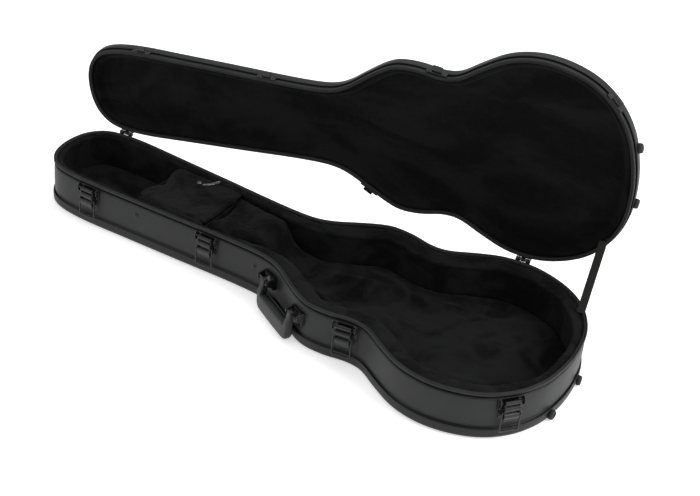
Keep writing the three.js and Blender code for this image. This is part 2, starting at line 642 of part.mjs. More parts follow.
// ---------- lid strap ----------
const anchorDepth = -7;
function strapAnchor(parent, name, x, low, high) {
  const frame = wallPoint(x, 'back');
  const group = new THREE.Group();
  group.position.set(frame.x, frame.y, 0);
  group.rotation.z = frame.turn;
  parent.add(group);
  add(group, name, box(-11, 11, -anchorDepth, -anchorDepth + 1.5, low, high), hardwareFinish());
  return group;
}
const anchorTop = BASE_DEPTH - 0.6;
const baseAnchor = strapAnchor(guitarCase, 'strap_anchor_base', STRAP.baseX, PADDING_TOP + GAP, anchorTop);
const lidAnchor = strapAnchor(lid, 'strap_anchor_lid', STRAP.lidX, lidZ(0.6), lidZ(6.2));
guitarCase.updateMatrixWorld(true);
const strapOut = -anchorDepth + 1.5 + GAP + STRAP.thickness / 2;
const strapLow = baseAnchor.localToWorld(new THREE.Vector3(0, strapOut + 6, BASE_DEPTH - 1));
const strapHigh = lidAnchor.localToWorld(new THREE.Vector3(0, strapOut + 9, lidZ(1)));
const strapRun = strapHigh.clone().sub(strapLow);
const strapAcross = new THREE.Vector3().crossVectors(up, new THREE.Vector3(0, -1, 0)).normalize();
const strapAlong = strapRun.clone().normalize();
strapAcross.sub(strapAlong.clone().multiplyScalar(strapAcross.dot(strapAlong))).normalize();
const strapBasis = new THREE.Matrix4().makeBasis(
  strapAcross, strapAlong, new THREE.Vector3().crossVectors(strapAcross, strapAlong));
const strap = new THREE.BoxGeometry(STRAP.width, strapRun.length(), STRAP.thickness).applyMatrix4(strapBasis);
const strapMiddle = strapLow.clone().add(strapHigh).multiplyScalar(0.5);
add(guitarCase, 'lid_strap', strap.translate(strapMiddle.x, strapMiddle.y, strapMiddle.z), webbingFinish());

export default guitarCase;
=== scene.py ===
# %% [markdown]
# A shaped hard case for an electric guitar, open, with its lid resting on a strap. The design is a packed
# frame of rigid bodies. This lesson loads that frame and builds the finished surfaces round it: moulded
# covers, plush over foam, pressed-steel hardware, a moulded handle and a woven strap.

# %% Load the frame
import json
import math

import bmesh
import bpy
from mathutils import Matrix, Vector, noise


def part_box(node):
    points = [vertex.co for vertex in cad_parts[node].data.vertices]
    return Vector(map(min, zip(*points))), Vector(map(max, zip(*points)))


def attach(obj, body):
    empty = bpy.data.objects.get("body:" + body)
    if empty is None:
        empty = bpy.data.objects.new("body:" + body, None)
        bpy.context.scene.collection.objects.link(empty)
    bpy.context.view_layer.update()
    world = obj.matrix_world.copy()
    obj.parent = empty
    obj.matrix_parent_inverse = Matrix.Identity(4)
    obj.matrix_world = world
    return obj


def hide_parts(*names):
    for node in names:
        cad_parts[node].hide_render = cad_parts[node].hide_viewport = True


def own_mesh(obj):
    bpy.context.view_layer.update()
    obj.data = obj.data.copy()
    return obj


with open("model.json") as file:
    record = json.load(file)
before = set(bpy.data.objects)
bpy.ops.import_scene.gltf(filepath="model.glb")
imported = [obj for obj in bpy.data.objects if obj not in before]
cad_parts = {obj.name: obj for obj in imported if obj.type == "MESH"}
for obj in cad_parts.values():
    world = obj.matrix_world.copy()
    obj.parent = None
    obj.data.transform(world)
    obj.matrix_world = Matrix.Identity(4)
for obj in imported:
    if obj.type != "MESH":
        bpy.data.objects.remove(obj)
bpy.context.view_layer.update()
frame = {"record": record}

# %% [markdown]
# The camera looks down on the open case from the latch side, with a moderately long lens and a slight
# roll. Building it first lets every later piece be judged from the right place. Its axes are worked out
# from three angles, a point that it looks at and a distance, which are easier to read than a matrix.

# %% Camera
AZIMUTH = math.radians(28.18)
ELEVATION = math.radians(34.82)
ROLL = math.radians(6.19)
LOOK_AT = Vector((0.0204, 0.1549, 0.0))
DISTANCE = 2.6787

backwards = Vector((math.sin(AZIMUTH) * math.cos(ELEVATION), -math.cos(AZIMUTH) * math.cos(ELEVATION),
                    math.sin(ELEVATION)))
level_right = Vector((math.cos(AZIMUTH), math.sin(AZIMUTH), 0))
level_up = backwards.cross(level_right)
camera_right = math.cos(ROLL) * level_right + math.sin(ROLL) * level_up
camera_up = math.cos(ROLL) * level_up - math.sin(ROLL) * level_right

camera_data = bpy.data.cameras.new("studio_camera")
camera_data.sensor_width = 36.0
camera_data.lens = 72.33
camera_data.clip_end = 60.0
camera = bpy.data.objects.new("studio_camera", camera_data)
bpy.context.collection.objects.link(camera)
camera.matrix_world = Matrix.Translation(LOOK_AT + DISTANCE * backwards) @ Matrix(
    (camera_right, camera_up, backwards)).transposed().to_4x4()
bpy.context.scene.camera = camera
print("camera at", [round(c, 3) for c in camera.location])

# %% [markdown]
# Black objects are lit by what they reflect, so the studio is a bright, even dome over a pale floor, with
# three large soft boxes: a strong one at the butt end for the sheen on the curved wall, a weak one at the
# head end, and one overhead. The standard view transform keeps the floor white and the plush nearly black.

# %% Studio
def soft_box(name, place, towards, width, height, power):
    light = bpy.data.lights.new(name, "AREA")
    light.shape = "RECTANGLE"
    light.size = width
    light.size_y = height
    light.energy = power
    box = bpy.data.objects.new(name, light)
    bpy.context.collection.objects.link(box)
    box.location = place
    box.rotation_euler = (Vector(towards) - Vector(place)).to_track_quat("-Z", "Y").to_euler()
    return box


bpy.context.scene.view_settings.view_transform = "Standard"
world = bpy.data.worlds.new("studio_dome")
world.use_nodes = True
world.node_tree.nodes["Background"].inputs["Color"].default_value = (1.0, 1.0, 1.0, 1.0)
world.node_tree.nodes["Background"].inputs["Strength"].default_value = 0.64
bpy.context.scene.world = world
soft_box("butt_soft_box", (2.4, 0.3, 1.7), (0.3, 0.1, 0.1), 1.6, 1.4, 46)
soft_box("head_soft_box", (-1.7, -1.9, 1.5), (-0.2, 0.0, 0.1), 1.4, 1.4, 14)
soft_box("top_soft_box", (0.0, 0.9, 2.6), (0.0, 0.1, 0.1), 2.6, 1.6, 30)
print("studio: a dome and three soft boxes")

# %% [markdown]
# Every finish is a procedural node tree on object coordinates, in metres, so its grain has a real size
# and stays with the piece when the lid swings. One helper starts a finish with a Principled shader whose
# constants sit on its own sockets; small helpers add noise, colour ramps and bump.

# %% Finish helpers
class Finish:
    """A material under construction: one Principled shader and the nodes that feed it."""

    def __init__(self, name, **constants):
        self.material = bpy.data.materials.new(name)
        self.material.use_nodes = True
        self.tree = self.material.node_tree
        self.shader = self.tree.nodes["Principled BSDF"]
        self.place = self.tree.nodes.new("ShaderNodeTexCoord").outputs["Object"]
        for socket, value in constants.items():
            self.shader.inputs[socket.replace("_", " ")].default_value = value

    def join(self, output, node, socket):
        self.tree.links.new(output, node.inputs[socket])

    def stretched(self, scale, source=None):
        mapping = self.tree.nodes.new("ShaderNodeMapping")
        mapping.inputs["Scale"].default_value = scale
        self.join(source or self.place, mapping, "Vector")
        return mapping.outputs["Vector"]

    def noise(self, scale, detail=3.0, distortion=0.0, roughness=0.5, source=None):
        node = self.tree.nodes.new("ShaderNodeTexNoise")
        node.inputs["Scale"].default_value = scale
        node.inputs["Detail"].default_value = detail
        node.inputs["Distortion"].default_value = distortion
        node.inputs["Roughness"].default_value = roughness
        self.join(source or self.place, node, "Vector")
        return node.outputs["Fac"]

    def cells(self, scale, source=None):
        node = self.tree.nodes.new("ShaderNodeTexVoronoi")
        node.inputs["Scale"].default_value = scale
        self.join(source or self.place, node, "Vector")
        return node.outputs["Distance"]

    def ramp(self, factor, *stops):
        node = self.tree.nodes.new("ShaderNodeValToRGB")
        for element, (position, value) in zip(node.color_ramp.elements, stops):
            element.position = position
            element.color = value if isinstance(value, tuple) else (value, value, value, 1)
        self.join(factor, node, "Fac")
        return node.outputs["Color"]

    def between(self, factor, low, high):
        node = self.tree.nodes.new("ShaderNodeMapRange")
        node.inputs["To Min"].default_value = low
        node.inputs["To Max"].default_value = high
        self.join(factor, node, "Value")
        return node.outputs["Result"]

    def combined(self, operation, first, second):
        node = self.tree.nodes.new("ShaderNodeMath")
        node.operation = operation
        for index, value in enumerate((first, second)):
            if isinstance(value, (int, float)):
                node.inputs[index].default_value = value
            else:
                self.tree.links.new(value, node.inputs[index])
        return node.outputs["Value"]

    def bump(self, height, distance, strength=1.0):
        node = self.tree.nodes.new("ShaderNodeBump")
        node.inputs["Distance"].default_value = distance
        node.inputs["Strength"].default_value = strength
        self.join(height, node, "Height")
        self.join(node.outputs["Normal"], self.shader, "Normal")


def grey(level, blue=0.0):
    return (level * (1 - blue / 2), level, level * (1 + blue), 1)


print("finish helpers ready")

# %% [markdown]
# The covers are moulded plastic sheet with a fine leather grain. A Voronoi pattern of about one
# millimetre gives the pebbles and a finer noise breaks them up. Slow noise varies colour and roughness,
# as handling does, so that a long wall doesn't reflect like a flat plate.

# %% Shell, rim and hardware finishes
def shell_finish():
    shell = Finish("moulded_shell", Specular_IOR_Level=0.27)
    grain = shell.combined("ADD", shell.cells(750), shell.combined("MULTIPLY", shell.noise(1900, 2), 0.8))
    shell.bump(grain, 0.00022, 0.5)
    handled = shell.noise(7, 4, 0.4)
    shell.join(shell.ramp(handled, (0.3, grey(0.0078, 0.08)), (0.72, grey(0.0122, 0.08))), shell.shader,
               "Base Color")
    worn = shell.combined("ADD", handled, shell.combined("MULTIPLY", shell.noise(160, 3), 0.35))
    shell.join(shell.between(worn, 0.36, 0.52), shell.shader, "Roughness")
    return shell.material


def hard_finish(name, tone, stops, rough, grain=None, **constants):
    """Colour from one noise, roughness from a second and a fine bump from a third."""
    hard = Finish(name, **constants)
    hard.join(hard.ramp(hard.noise(*tone), *stops), hard.shader, "Base Color")
    rough_noise, smoothest, roughest = rough
    hard.join(hard.between(hard.noise(*rough_noise), smoothest, roughest), hard.shader, "Roughness")
    if grain:
        grain_noise, depth, strength = grain
        hard.bump(hard.noise(*grain_noise), depth, strength)
    return hard


def grip_finish():
    grip = hard_finish("moulded_grip", (25, 4, 0.5), ((0.3, grey(0.0065, 0.05)), (0.7, grey(0.0115, 0.05))),
                       ((140, 4), 0.38, 0.55), Specular_IOR_Level=0.34)
    grip.bump(grip.combined("ADD", grip.cells(1300), grip.noise(2600, 2)), 0.00012, 0.5)
    return grip.material


SHELL = shell_finish()
RIM = hard_finish("rim_extrusion", (30, 3), ((0.3, grey(0.0085)), (0.7, grey(0.014, 0.05))),
                  ((220, 3), 0.52, 0.68), ((1500, 2), 0.00008, 0.4), Specular_IOR_Level=0.26).material
HARDWARE = hard_finish("black_painted_steel", (260, 5, 0.6),
                       ((0.45, grey(0.0028, 0.05)), (0.78, grey(0.010, 0.05))), ((90, 4), 0.2, 0.36),
                       ((2200, 2), 0.00006, 0.5), Specular_IOR_Level=0.36).material
PINS = hard_finish("dark_steel_pins", (400, 4), ((0.3, grey(0.03)), (0.7, grey(0.075))),
                   ((120, 3), 0.3, 0.5), Metallic=0.9).material
RUBBER = hard_finish("foot_rubber", (120, 4), ((0.3, grey(0.005)), (0.7, grey(0.010))),
                     ((300, 3), 0.55, 0.75), ((1300, 3), 0.0001, 0.5), Specular_IOR_Level=0.35).material
GRIP = grip_finish()
print("hard finishes made")

# %% [markdown]
# Plush is short pile. Where a hand has brushed it, the pile leans another way and the patch looks lighter
# or darker, with a fairly sharp edge. A warped slow noise through a tight ramp gives those patches, a
# fine noise gives the tufts, and a little sheen gives the soft bloom at grazing angles.

# %% Soft finishes
def plush_finish(name, dark, light, nap_scale, nap_place=(1, 1, 1)):
    plush = Finish(name, Specular_IOR_Level=0.12, Roughness=0.92, Sheen_Weight=0.022, Sheen_Roughness=0.45,
                   Sheen_Tint=(0.75, 0.75, 0.8, 1))
    stretched = plush.stretched(nap_place)
    nap = plush.noise(nap_scale, 5, 1.3, 0.55, stretched)
    tufts = plush.noise(650, 3, 0.3)
    brushed = plush.combined("ADD", nap, plush.combined("MULTIPLY", plush.noise(90, 4, 0.8), 0.14))
    mottled = plush.combined("ADD", brushed, plush.combined("MULTIPLY", tufts, 0.10))
    plush.join(plush.ramp(mottled, (0.54, grey(dark, 0.1)), (0.68, grey(light, 0.04))), plush.shader,
               "Base Color")
    pile = plush.combined("ADD", tufts, plush.combined("MULTIPLY", plush.noise(140, 3, 0.5), 1.2))
    plush.bump(pile, 0.0016, 0.9)
    return plush.material


def webbing_finish():
    webbing = Finish("strap_webbing", Specular_IOR_Level=0.25, Roughness=0.85, Sheen_Weight=0.05)
    thread = webbing.tree.nodes.new("ShaderNodeUVMap").outputs["UV"]
    warp = webbing.tree.nodes.new("ShaderNodeTexWave")
    weft = webbing.tree.nodes.new("ShaderNodeTexWave")
    weft.bands_direction = "Y"
    for wave, scale in ((warp, 260), (weft, 210)):
        wave.inputs["Scale"].default_value = scale
        wave.inputs["Distortion"].default_value = 0.6
        webbing.join(thread, wave, "Vector")
    weave = webbing.combined("MAXIMUM", warp.outputs["Fac"], weft.outputs["Fac"])
    webbing.join(webbing.ramp(weave, (0.2, grey(0.004, -0.05)), (0.9, grey(0.013, -0.05))), webbing.shader,
                 "Base Color")
    webbing.bump(weave, 0.0004, 0.8)
    return webbing.material


BASE_PLUSH = plush_finish("base_plush", 0.0004, 0.0078, 8.5)
LID_PLUSH = plush_finish("lid_plush", 0.0006, 0.0050, 6.0, (0.6, 1, 1.4))
LEDGE_PLUSH = plush_finish("ledge_plush", 0.0012, 0.0066, 12.0)
WEBBING = webbing_finish()
print("soft finishes made")

# %% [markdown]
# The pale floor is one large plane. It is not part of the case.

# %% Floor
floor_finish = Finish("pale_floor", Roughness=0.85, Specular_IOR_Level=0.1, Emission_Strength=0.46,
                      Emission_Color=(1, 1, 1, 1))
floor_finish.join(floor_finish.ramp(floor_finish.noise(3, 2), (0.2, grey(0.86)), (0.8, grey(0.9))),
                  floor_finish.shader, "Base Color")
bpy.ops.mesh.primitive_plane_add(size=40, location=(0, 0, -0.0005))
floor = bpy.context.object
floor.name = "studio_floor"
floor.data.materials.append(floor_finish.material)
print("floor laid")

# %% [markdown]
# Lengths from here on are millimetres, and each mesh is scaled to metres as it is made. A piece is a
# coarse cage with its place in its mesh and its object at the origin. A subdivision stack rounds swept
# and moulded shapes, and a bevel stack breaks the edges of pressed and cut ones.

# %% Piece helpers
MM = 0.001


def add_piece(name, points, faces, place=Matrix.Identity(4)):
    """A mesh object from corners in millimetres, moved by a matrix in metres."""
    mesh = bpy.data.meshes.new(name)
    mesh.from_pydata([Vector(point) * MM for point in points], [], faces)
    cage = bmesh.new()
    cage.from_mesh(mesh)
    bmesh.ops.recalc_face_normals(cage, faces=cage.faces)
    cage.to_mesh(mesh)
    cage.free()
    mesh.transform(place)
    mesh.shade_smooth()
    piece = bpy.data.objects.new(name, mesh)
    bpy.context.collection.objects.link(piece)
    return piece


def subdivided(piece, levels):
    stack = piece.modifiers.new("rounded", "SUBSURF")
    stack.levels = levels
    stack.render_levels = levels
    return piece


def eased(piece, width, segments=2, angle=28):
    stack = piece.modifiers.new("eased_edges", "BEVEL")
    stack.width = width * MM
    stack.segments = segments
    stack.limit_method = "ANGLE"
    stack.angle_limit = math.radians(angle)
    stack.harden_normals = True
    return piece


def lump_texture(name, size):
    texture = bpy.data.textures.new(name, "CLOUDS")
    texture.noise_scale = size * MM
    texture.noise_depth = 2
    return texture


FOAM_LUMPS = lump_texture("foam_lumps", 26)
PILE_LUMPS = lump_texture("pile_lumps", 8)


def lumpy(piece, texture, height):
    stack = piece.modifiers.new("lumps", "DISPLACE")
    stack.texture = texture
    stack.texture_coords = "LOCAL"
    stack.strength = height * MM
    stack.mid_level = 0.5
    return piece


def apply_stack(piece):
    """Makes the finished shape of a piece its own mesh, and clears its modifiers."""
    bpy.context.view_layer.update()
    finished = bpy.data.meshes.new_from_object(piece.evaluated_get(bpy.context.evaluated_depsgraph_get()))
    finished.name = piece.name
    piece.modifiers.clear()
    piece.data = finished
    return piece


def combine(name, *pieces):
    """Joins finished pieces, such as a plate and its rivets, into one object."""
    cage = bmesh.new()
    for piece in pieces:
        apply_stack(piece)
        cage.from_mesh(piece.data)
        bpy.data.objects.remove(piece)
    mesh = bpy.data.meshes.new(name)
    cage.to_mesh(mesh)
    cage.free()
    joined = bpy.data.objects.new(name, mesh)
    bpy.context.collection.objects.link(joined)
    return joined


def belongs(piece, body, slot, material, *nodes):
    """Gives a piece its finish, the body that it moves with and the nodes that it stands for."""
    piece.data.materials.clear()
    piece.data.materials.append(material)
    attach(piece, body)
    if nodes:
        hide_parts(*nodes)
    return piece


def plush_over_foam(piece, levels, foam, pile, finish, body, fill, *nodes):
    subdivided(piece, levels)
    if foam:
        lumpy(piece, FOAM_LUMPS, foam)
    lumpy(piece, PILE_LUMPS, pile)
    belongs(piece, body, "plush", finish, *nodes)


print("piece helpers ready")

# %% [markdown]
# One symmetric outline drives the covers, walls, rims and padding. A closed centripetal spline through a
# few points gives stations with a place and an outward direction. A sweep carries a profile
# of (offset from the outline, height) round them. The shape stays editable: move one point, and every
# piece follows.

# %% Outline
HALF_OUTLINE = [
    (540, 0), (538.5, 30), (530, 79.5), (506.7, 128), (469.8, 166.3), (421.3, 189.9), (368.5, 198.9),
    (315.6, 190.9), (267.5, 167.1), (225, 143), (193.7, 139.9), (154, 147.5), (113.9, 147.8),
    (88.6, 138.9), (43, 110.4), (20.7, 95.5), (-3.6, 84), (-29.9, 78.4), (-83.6, 77.1), (-218, 82.6),
    (-325.5, 86.6), (-433, 89.8), (-486.3, 83.5), (-510.5, 72.2), (-528.1, 52), (-537.3, 27), (-540, 0),
]
STEPS_PER_SPAN = 4


def spline_span(before, start, end, after, part):
    """Point and direction on one span of a centripetal Catmull-Rom spline."""
    gaps = [math.sqrt((b - a).length) for a, b in ((before, start), (start, end), (end, after))]
    leaving = (start - before) / gaps[0] - (end - before) / (gaps[0] + gaps[1]) + (end - start) / gaps[1]
    arriving = (end - start) / gaps[1] - (after - start) / (gaps[1] + gaps[2]) + (after - end) / gaps[2]
    leaving *= gaps[1]
    arriving *= gaps[1]
    square = 3 * (end - start) - 2 * leaving - arriving
    cube = 2 * (start - end) + leaving + arriving
    point = start + leaving * part + square * part ** 2 + cube * part ** 3
    return point, (leaving + 2 * square * part + 3 * cube * part ** 2).normalized()


def make_stations():
    back = [Vector(point) for point in HALF_OUTLINE]
    front = [Vector((x, -y)) for x, y in HALF_OUTLINE[-2:0:-1]]
    corners = back + front
    stations = []
    for index in range(len(corners)):
        around = [corners[(index + shift) % len(corners)] for shift in (-1, 0, 1, 2)]
        for step in range(STEPS_PER_SPAN):
            point, along = spline_span(*around, step / STEPS_PER_SPAN)
            stations.append((point, Vector((along.y, -along.x))))
    return stations


STATIONS = make_stations()
print("outline has", len(STATIONS), "stations")

# %% Sweep round the outline
def ring_of(offset, height):
    ring = []
    for point, outward in STATIONS:
        distance = offset(point.x) if callable(offset) else offset
        place = point + outward * distance
        ring.append((place.x, place.y, height))
    return ring


def close_ring(points, faces, first, columns, height=None):
    """Fills a ring with rows of quads that run from each station to its mirror image."""
    count = len(STATIONS)
    rows = []
    for station in range(1, count // 2):
        near = Vector(points[first + station])
        far = Vector(points[first + count - station])
        row = [first + station]
        for column in range(1, columns):
            x, y, z = near.lerp(far, column / columns)
            row.append(len(points))
            points.append((x, y, height(x, y, z) if height else z))
        rows.append(row + [first + count - station])
    for row, following in zip(rows, rows[1:]):
        faces += [(row[i], row[i + 1], following[i + 1], following[i]) for i in range(columns)]
    for tip, row in ((first, rows[0]), (first + count // 2, rows[-1])):
        faces += [(tip, row[i], row[i + 1]) for i in range(columns)]


def sweep(name, profile, caps=None, place=Matrix.Identity(4)):
    """Carries a profile round the outline. It closes on itself, or is filled at both ends by caps."""
    count = len(STATIONS)
    points = [point for offset, height in profile for point in ring_of(offset, height)]
    faces = []
    for level in range(len(profile) if caps is None else len(profile) - 1):
        here = level * count
        above = (level + 1) % len(profile) * count
        faces += [(here + i, here + (i + 1) % count, above + (i + 1) % count, above + i)
                  for i in range(count)]
    if caps:
        columns, start_height, end_height = caps
        close_ring(points, faces, 0, columns, start_height)
        close_ring(points, faces, (len(profile) - 1) * count, columns, end_height)
    return add_piece(name, points, faces, place)


print("sweep ready")

# %% [markdown]
# The base is a shallow moulded cover with an upturned lip, a side wall that stands inside that lip, and an
# extruded rim. Between lip and wall runs a shadow groove. Each profile is held at its corners, so one
# level of subdivision gives a small radius there and keeps the flats flat.

# %% Base shell
BASE_DEPTH = 94
LID_DEPTH = 32
BAND_HEIGHT = 21
BAND_PROUD = 3.2
WALL = 5
RIM_LOW = BASE_DEPTH - 5.7
GROOVE_HEIGHT = 2.4
GROOVE_DEPTH = 4.2


def cover_profile(direction, flat):
    """From the inside of the floor, over the lip, round the moulded edge to the flat outside."""
    lip = flat + direction * BAND_HEIGHT
    edge = [(BAND_PROUD - 8 * (1 - math.cos(math.radians(turn))),
             flat + direction * 8 * (1 - math.sin(math.radians(turn)))) for turn in (0, 22, 45, 68, 90)]
    return [(-3, flat + direction * 3), (0.2, flat + direction * 3), (0.3, flat + direction * 4),
            (0.3, lip - direction * 0.7), (0.9, lip), (BAND_PROUD - 0.9, lip),
            (BAND_PROUD, lip - direction * 0.9), (BAND_PROUD, flat + direction * 9)] + edge + [
            (BAND_PROUD - 14, flat)]


def wall_profile(lip, direction, rim_edge):
    """The side wall, with the shadow groove just past the cover's lip."""
    groove = lip + direction * GROOVE_HEIGHT
    return [(-WALL, lip - direction * 17), (0, lip - direction * 17), (0, lip - direction * 1.2),
            (-GROOVE_DEPTH, lip - direction * 0.6), (-GROOVE_DEPTH, groove - direction * 0.5),
            (-0.3, groove), (0, groove + direction * 0.5), (0, rim_edge + direction * 1.2),
            (-WALL, rim_edge + direction * 1.2)]


def rim_profile(low, top, direction):
    """A rounded bead with a fine channel behind it, almost flush with the wall that it caps."""
    bead = [(0.35, 2.0), (0.1, 0.8), (-0.7, 0.1), (-1.8, 0), (-2.7, 0.4), (-3.1, 1.6), (-3.8, 1.7),
            (-4.3, 0.9), (-5.2, 0.8), (-6.1, 1.4), (-6.4, 2.4)]
    return [(0.2, low), (0.35, low + direction * 0.3)] + [
        (offset, top - direction * below) for offset, below in bead] + [
        (-6.4, low + direction * 0.35), (-6.1, low)]


bottom_cover = subdivided(sweep("moulded_bottom", cover_profile(1, 0), (10, None, None)), 1)
belongs(bottom_cover, "base", "shell", SHELL, "bottom_cover", "bottom_cover_lip")
base_wall = subdivided(sweep("base_wall", wall_profile(BAND_HEIGHT, 1, RIM_LOW)), 1)
belongs(base_wall, "base", "shell", SHELL, "base_side_wall")
base_rim = subdivided(sweep("base_rim_bead", rim_profile(RIM_LOW, BASE_DEPTH - 0.4, 1)), 1)
belongs(base_rim, "base", "rim", RIM, "base_rim")
print("base shell: three swept pieces")

# %% [markdown]
# The lid is the same sweep turned upside down and much shallower. It is built closed, where its sizes are
# easy to read, and its mesh is then swung open about the hinge axis that the frame gives.

# %% Lid shell
JOINTS = {joint["name"]: joint for joint in frame["record"]["behaviour"]["joints"]}
hinge_joint = JOINTS["lid_hinge"]
hinge_point = Vector(hinge_joint["pos_m"])
hinge_axis = Vector(hinge_joint["axis"])
open_angle = math.radians(-hinge_joint["range_deg"][0])
OPEN_LID = (Matrix.Translation(hinge_point) @ Matrix.Rotation(open_angle, 4, hinge_axis)
            @ Matrix.Translation(-hinge_point))
LID_TOP = BASE_DEPTH + LID_DEPTH

lid_cover = subdivided(sweep("moulded_lid", cover_profile(-1, LID_TOP), (10, None, None), OPEN_LID), 1)
belongs(lid_cover, "lid", "shell", SHELL, "lid_cover", "lid_cover_lip")
lid_lip = LID_TOP - BAND_HEIGHT
lid_groove = lid_lip - GROOVE_HEIGHT
lid_wall = subdivided(sweep("lid_wall", [
    (-WALL, LID_TOP - 4), (0, LID_TOP - 4), (0, lid_lip + 1.2), (-GROOVE_DEPTH, lid_lip + 0.6),
    (-GROOVE_DEPTH, lid_groove + 0.5), (-0.3, lid_groove), (0, lid_groove - 0.5), (0, BASE_DEPTH + 4.5),
    (-WALL, BASE_DEPTH + 4.5),
], None, OPEN_LID), 1)
belongs(lid_wall, "lid", "shell", SHELL, "lid_side_wall")
lid_rim = subdivided(sweep("lid_rim_bead", rim_profile(BASE_DEPTH + 5.7, BASE_DEPTH + 0.4, -1), None,
                           OPEN_LID), 1)
belongs(lid_rim, "lid", "rim", RIM, "lid_rim")
print("lid swung open by", round(math.degrees(open_angle)), "degrees")

# %% [markdown]
# Plush over foam lines the case. The wall padding is a soft ledge: its top is slightly crowned and rolls
# over into the cavity, with a seam where the plush folds. The padding's thickness comes from a short
# table, and low lumps of two sizes, made by Displace, keep it from looking machined.

# %% Wall padding
PADDING = [(-540, 12), (-120, 12), (-40, 24), (20, 30), (70, 34), (120, 30), (200, 33), (260, 34),
           (330, 31), (420, 29), (500, 25), (540, 17)]


def padding_at(x):
    for (start, thin), (end, thick) in zip(PADDING, PADDING[1:]):
        if x <= end:
            part = min(max((x - start) / (end - start), 0), 1)
            return thin + (thick - thin) * (3 * part ** 2 - 2 * part ** 3)
    return PADDING[-1][1]


def lining_offset(share, extra=0.0):
    """Distance inside the outline at a share of the padding's thickness."""
    return lambda x: -(WALL + 0.3 + padding_at(x) * share + extra)


wall_padding = sweep("wall_padding_plush", [
    (lining_offset(0.0), 13), (lining_offset(0.0), 84), (lining_offset(0.0, -1.5), 87.2),
    (lining_offset(0.2, -0.6), 88.8), (lining_offset(0.6), 88.6), (lining_offset(0.88), 88.0),
    (lining_offset(0.97), 86.2), (lining_offset(0.99), 83.2), (lining_offset(0.94), 81.0),
    (lining_offset(0.96), 70), (lining_offset(0.96), 50), (lining_offset(0.95), 30),
    (lining_offset(0.95), 13),
])
plush_over_foam(wall_padding, 2, 4.2, 1.1, LEDGE_PLUSH, "base", 0.9, "wall_padding")
print("wall padding swept")

# %% [markdown]
# The floor of the body cavity is one loose plush sheet over foam. Its heights are a sum of soft forms: a
# hollow where the guitar's heel sits, ripples where the cloth has slack, and folds beside the wall. A
# function of place is easier to adjust than hundreds of moved corners.

# %% Cavity floor
def bump_at(x, y, centre, spread, turn=0.0):
    """A soft hill of height one: round or long, and turned in plan."""
    along = (x - centre[0]) * math.cos(turn) + (y - centre[1]) * math.sin(turn)
    across = (y - centre[1]) * math.cos(turn) - (x - centre[0]) * math.sin(turn)
    return math.exp(-(along / spread[0]) ** 2 - (across / spread[1]) ** 2)


FOLDS = [
    ((372, 96), (60, 6), 0.5, 11.0), ((402, 62), (46, 5), 1.1, 9.0), ((350, 70), (38, 5), -0.3, 8.0),
    ((330, 108), (44, 6), 0.15, 8.0), ((420, 20), (52, 7), 1.35, 8.0), ((300, 84), (64, 6), 0.1, 7.0),
    ((240, 60), (80, 8), -0.12, 5.5), ((430, -40), (40, 7), 1.9, 6.0), ((110, 46), (70, 7), 0.2, 7.0),
    ((90, -42), (60, 7), -0.35, 7.0), ((392, -86), (70, 8), 0.4, 6.0), ((470, 50), (30, 6), 1.7, 9.0),
    ((60, 10), (30, 22), 0.3, -6.0), ((160, -60), (60, 6), 0.6, 7.0), ((210, -30), (50, 6), -0.5, 5.0),
]


def cavity_height(x, y, z):
    height = 25.5 - 9.0 * bump_at(x, y, (125, 2), (74, 26), 0.12) + 4.0 * bump_at(x, y, (250, 0), (90, 60))
    for centre, spread, turn, fold in FOLDS:
        height += fold * bump_at(x, y, centre, spread, turn)
    warp = noise.noise(Vector((x / 60, y / 60, 0.3)))
    return height + 4.0 * warp + 2.6 * noise.noise(Vector((x / 24 + 2 * warp, y / 24, 1.7)))


floor_rings = [(lining_offset(0.9), 4.5), (lining_offset(0.9), 11), (lining_offset(0.97), 24)]
cavity_floor = sweep("cavity_floor_plush", floor_rings, (34, None, cavity_height))
plush_over_foam(cavity_floor, 1, None, 1.4, BASE_PLUSH, "base", 0.35, "floor_pad", "body_platform")
print("cavity floor:", len(cavity_floor.data.vertices), "cage points")

# %% [markdown]
# Loose plush over foam creases as it settles. A short cloth run with a little air pressure makes those
# creases better than noise does: the closed cage is remeshed evenly, swells for twenty frames with
# gravity off, and no point may move further than a few millimetres from where it started.

# %% Swell helper
def swell(piece, voxel, most, pressure=4.0):
    remesh = piece.modifiers.new("even_mesh", "REMESH")
    remesh.mode = "VOXEL"
    remesh.voxel_size = voxel * MM
    apply_stack(piece)
    started = [vertex.co.copy() for vertex in piece.data.vertices]
    cloth = piece.modifiers.new("swell", "CLOTH")
    cloth.settings.use_pressure = True
    cloth.settings.uniform_pressure_force = pressure
    cloth.settings.effector_weights.gravity = 0
    for step in range(1, 21):
        bpy.context.scene.frame_set(step)
    apply_stack(piece)
    for vertex, start in zip(piece.data.vertices, started):
        moved = vertex.co - start
        if moved.length > most * MM:
            vertex.co = start + moved.normalized() * most * MM
    bpy.context.scene.frame_set(1)
    return piece


def loft(name, sections, place=Matrix.Identity(4)):
    """Joins sections of equally many points, and closes both ends."""
    count = len(sections[0])
    points = [point for section in sections for point in section]
    faces = [tuple(range(count)), tuple(range((len(sections) - 1) * count, len(sections) * count))]
    for level in range(len(sections) - 1):
        here = level * count
        faces += [(here + i, here + (i + 1) % count, here + count + (i + 1) % count, here + count + i)
                  for i in range(count)]
    return add_piece(name, points, faces, place)


def inside_half_width(x):
    """Half the width of the space between the padding at a distance along the case."""
    for (before, _), (after, _) in zip(STATIONS, STATIONS[1:]):
        if before.y > 0 and (before.x - x) * (after.x - x) <= 0:
            part = (x - before.x) / (after.x - before.x or 1)
            return before.lerp(after, part).y - WALL - 0.3 - padding_at(x)
    return 60.0


print("swell and loft helpers ready")

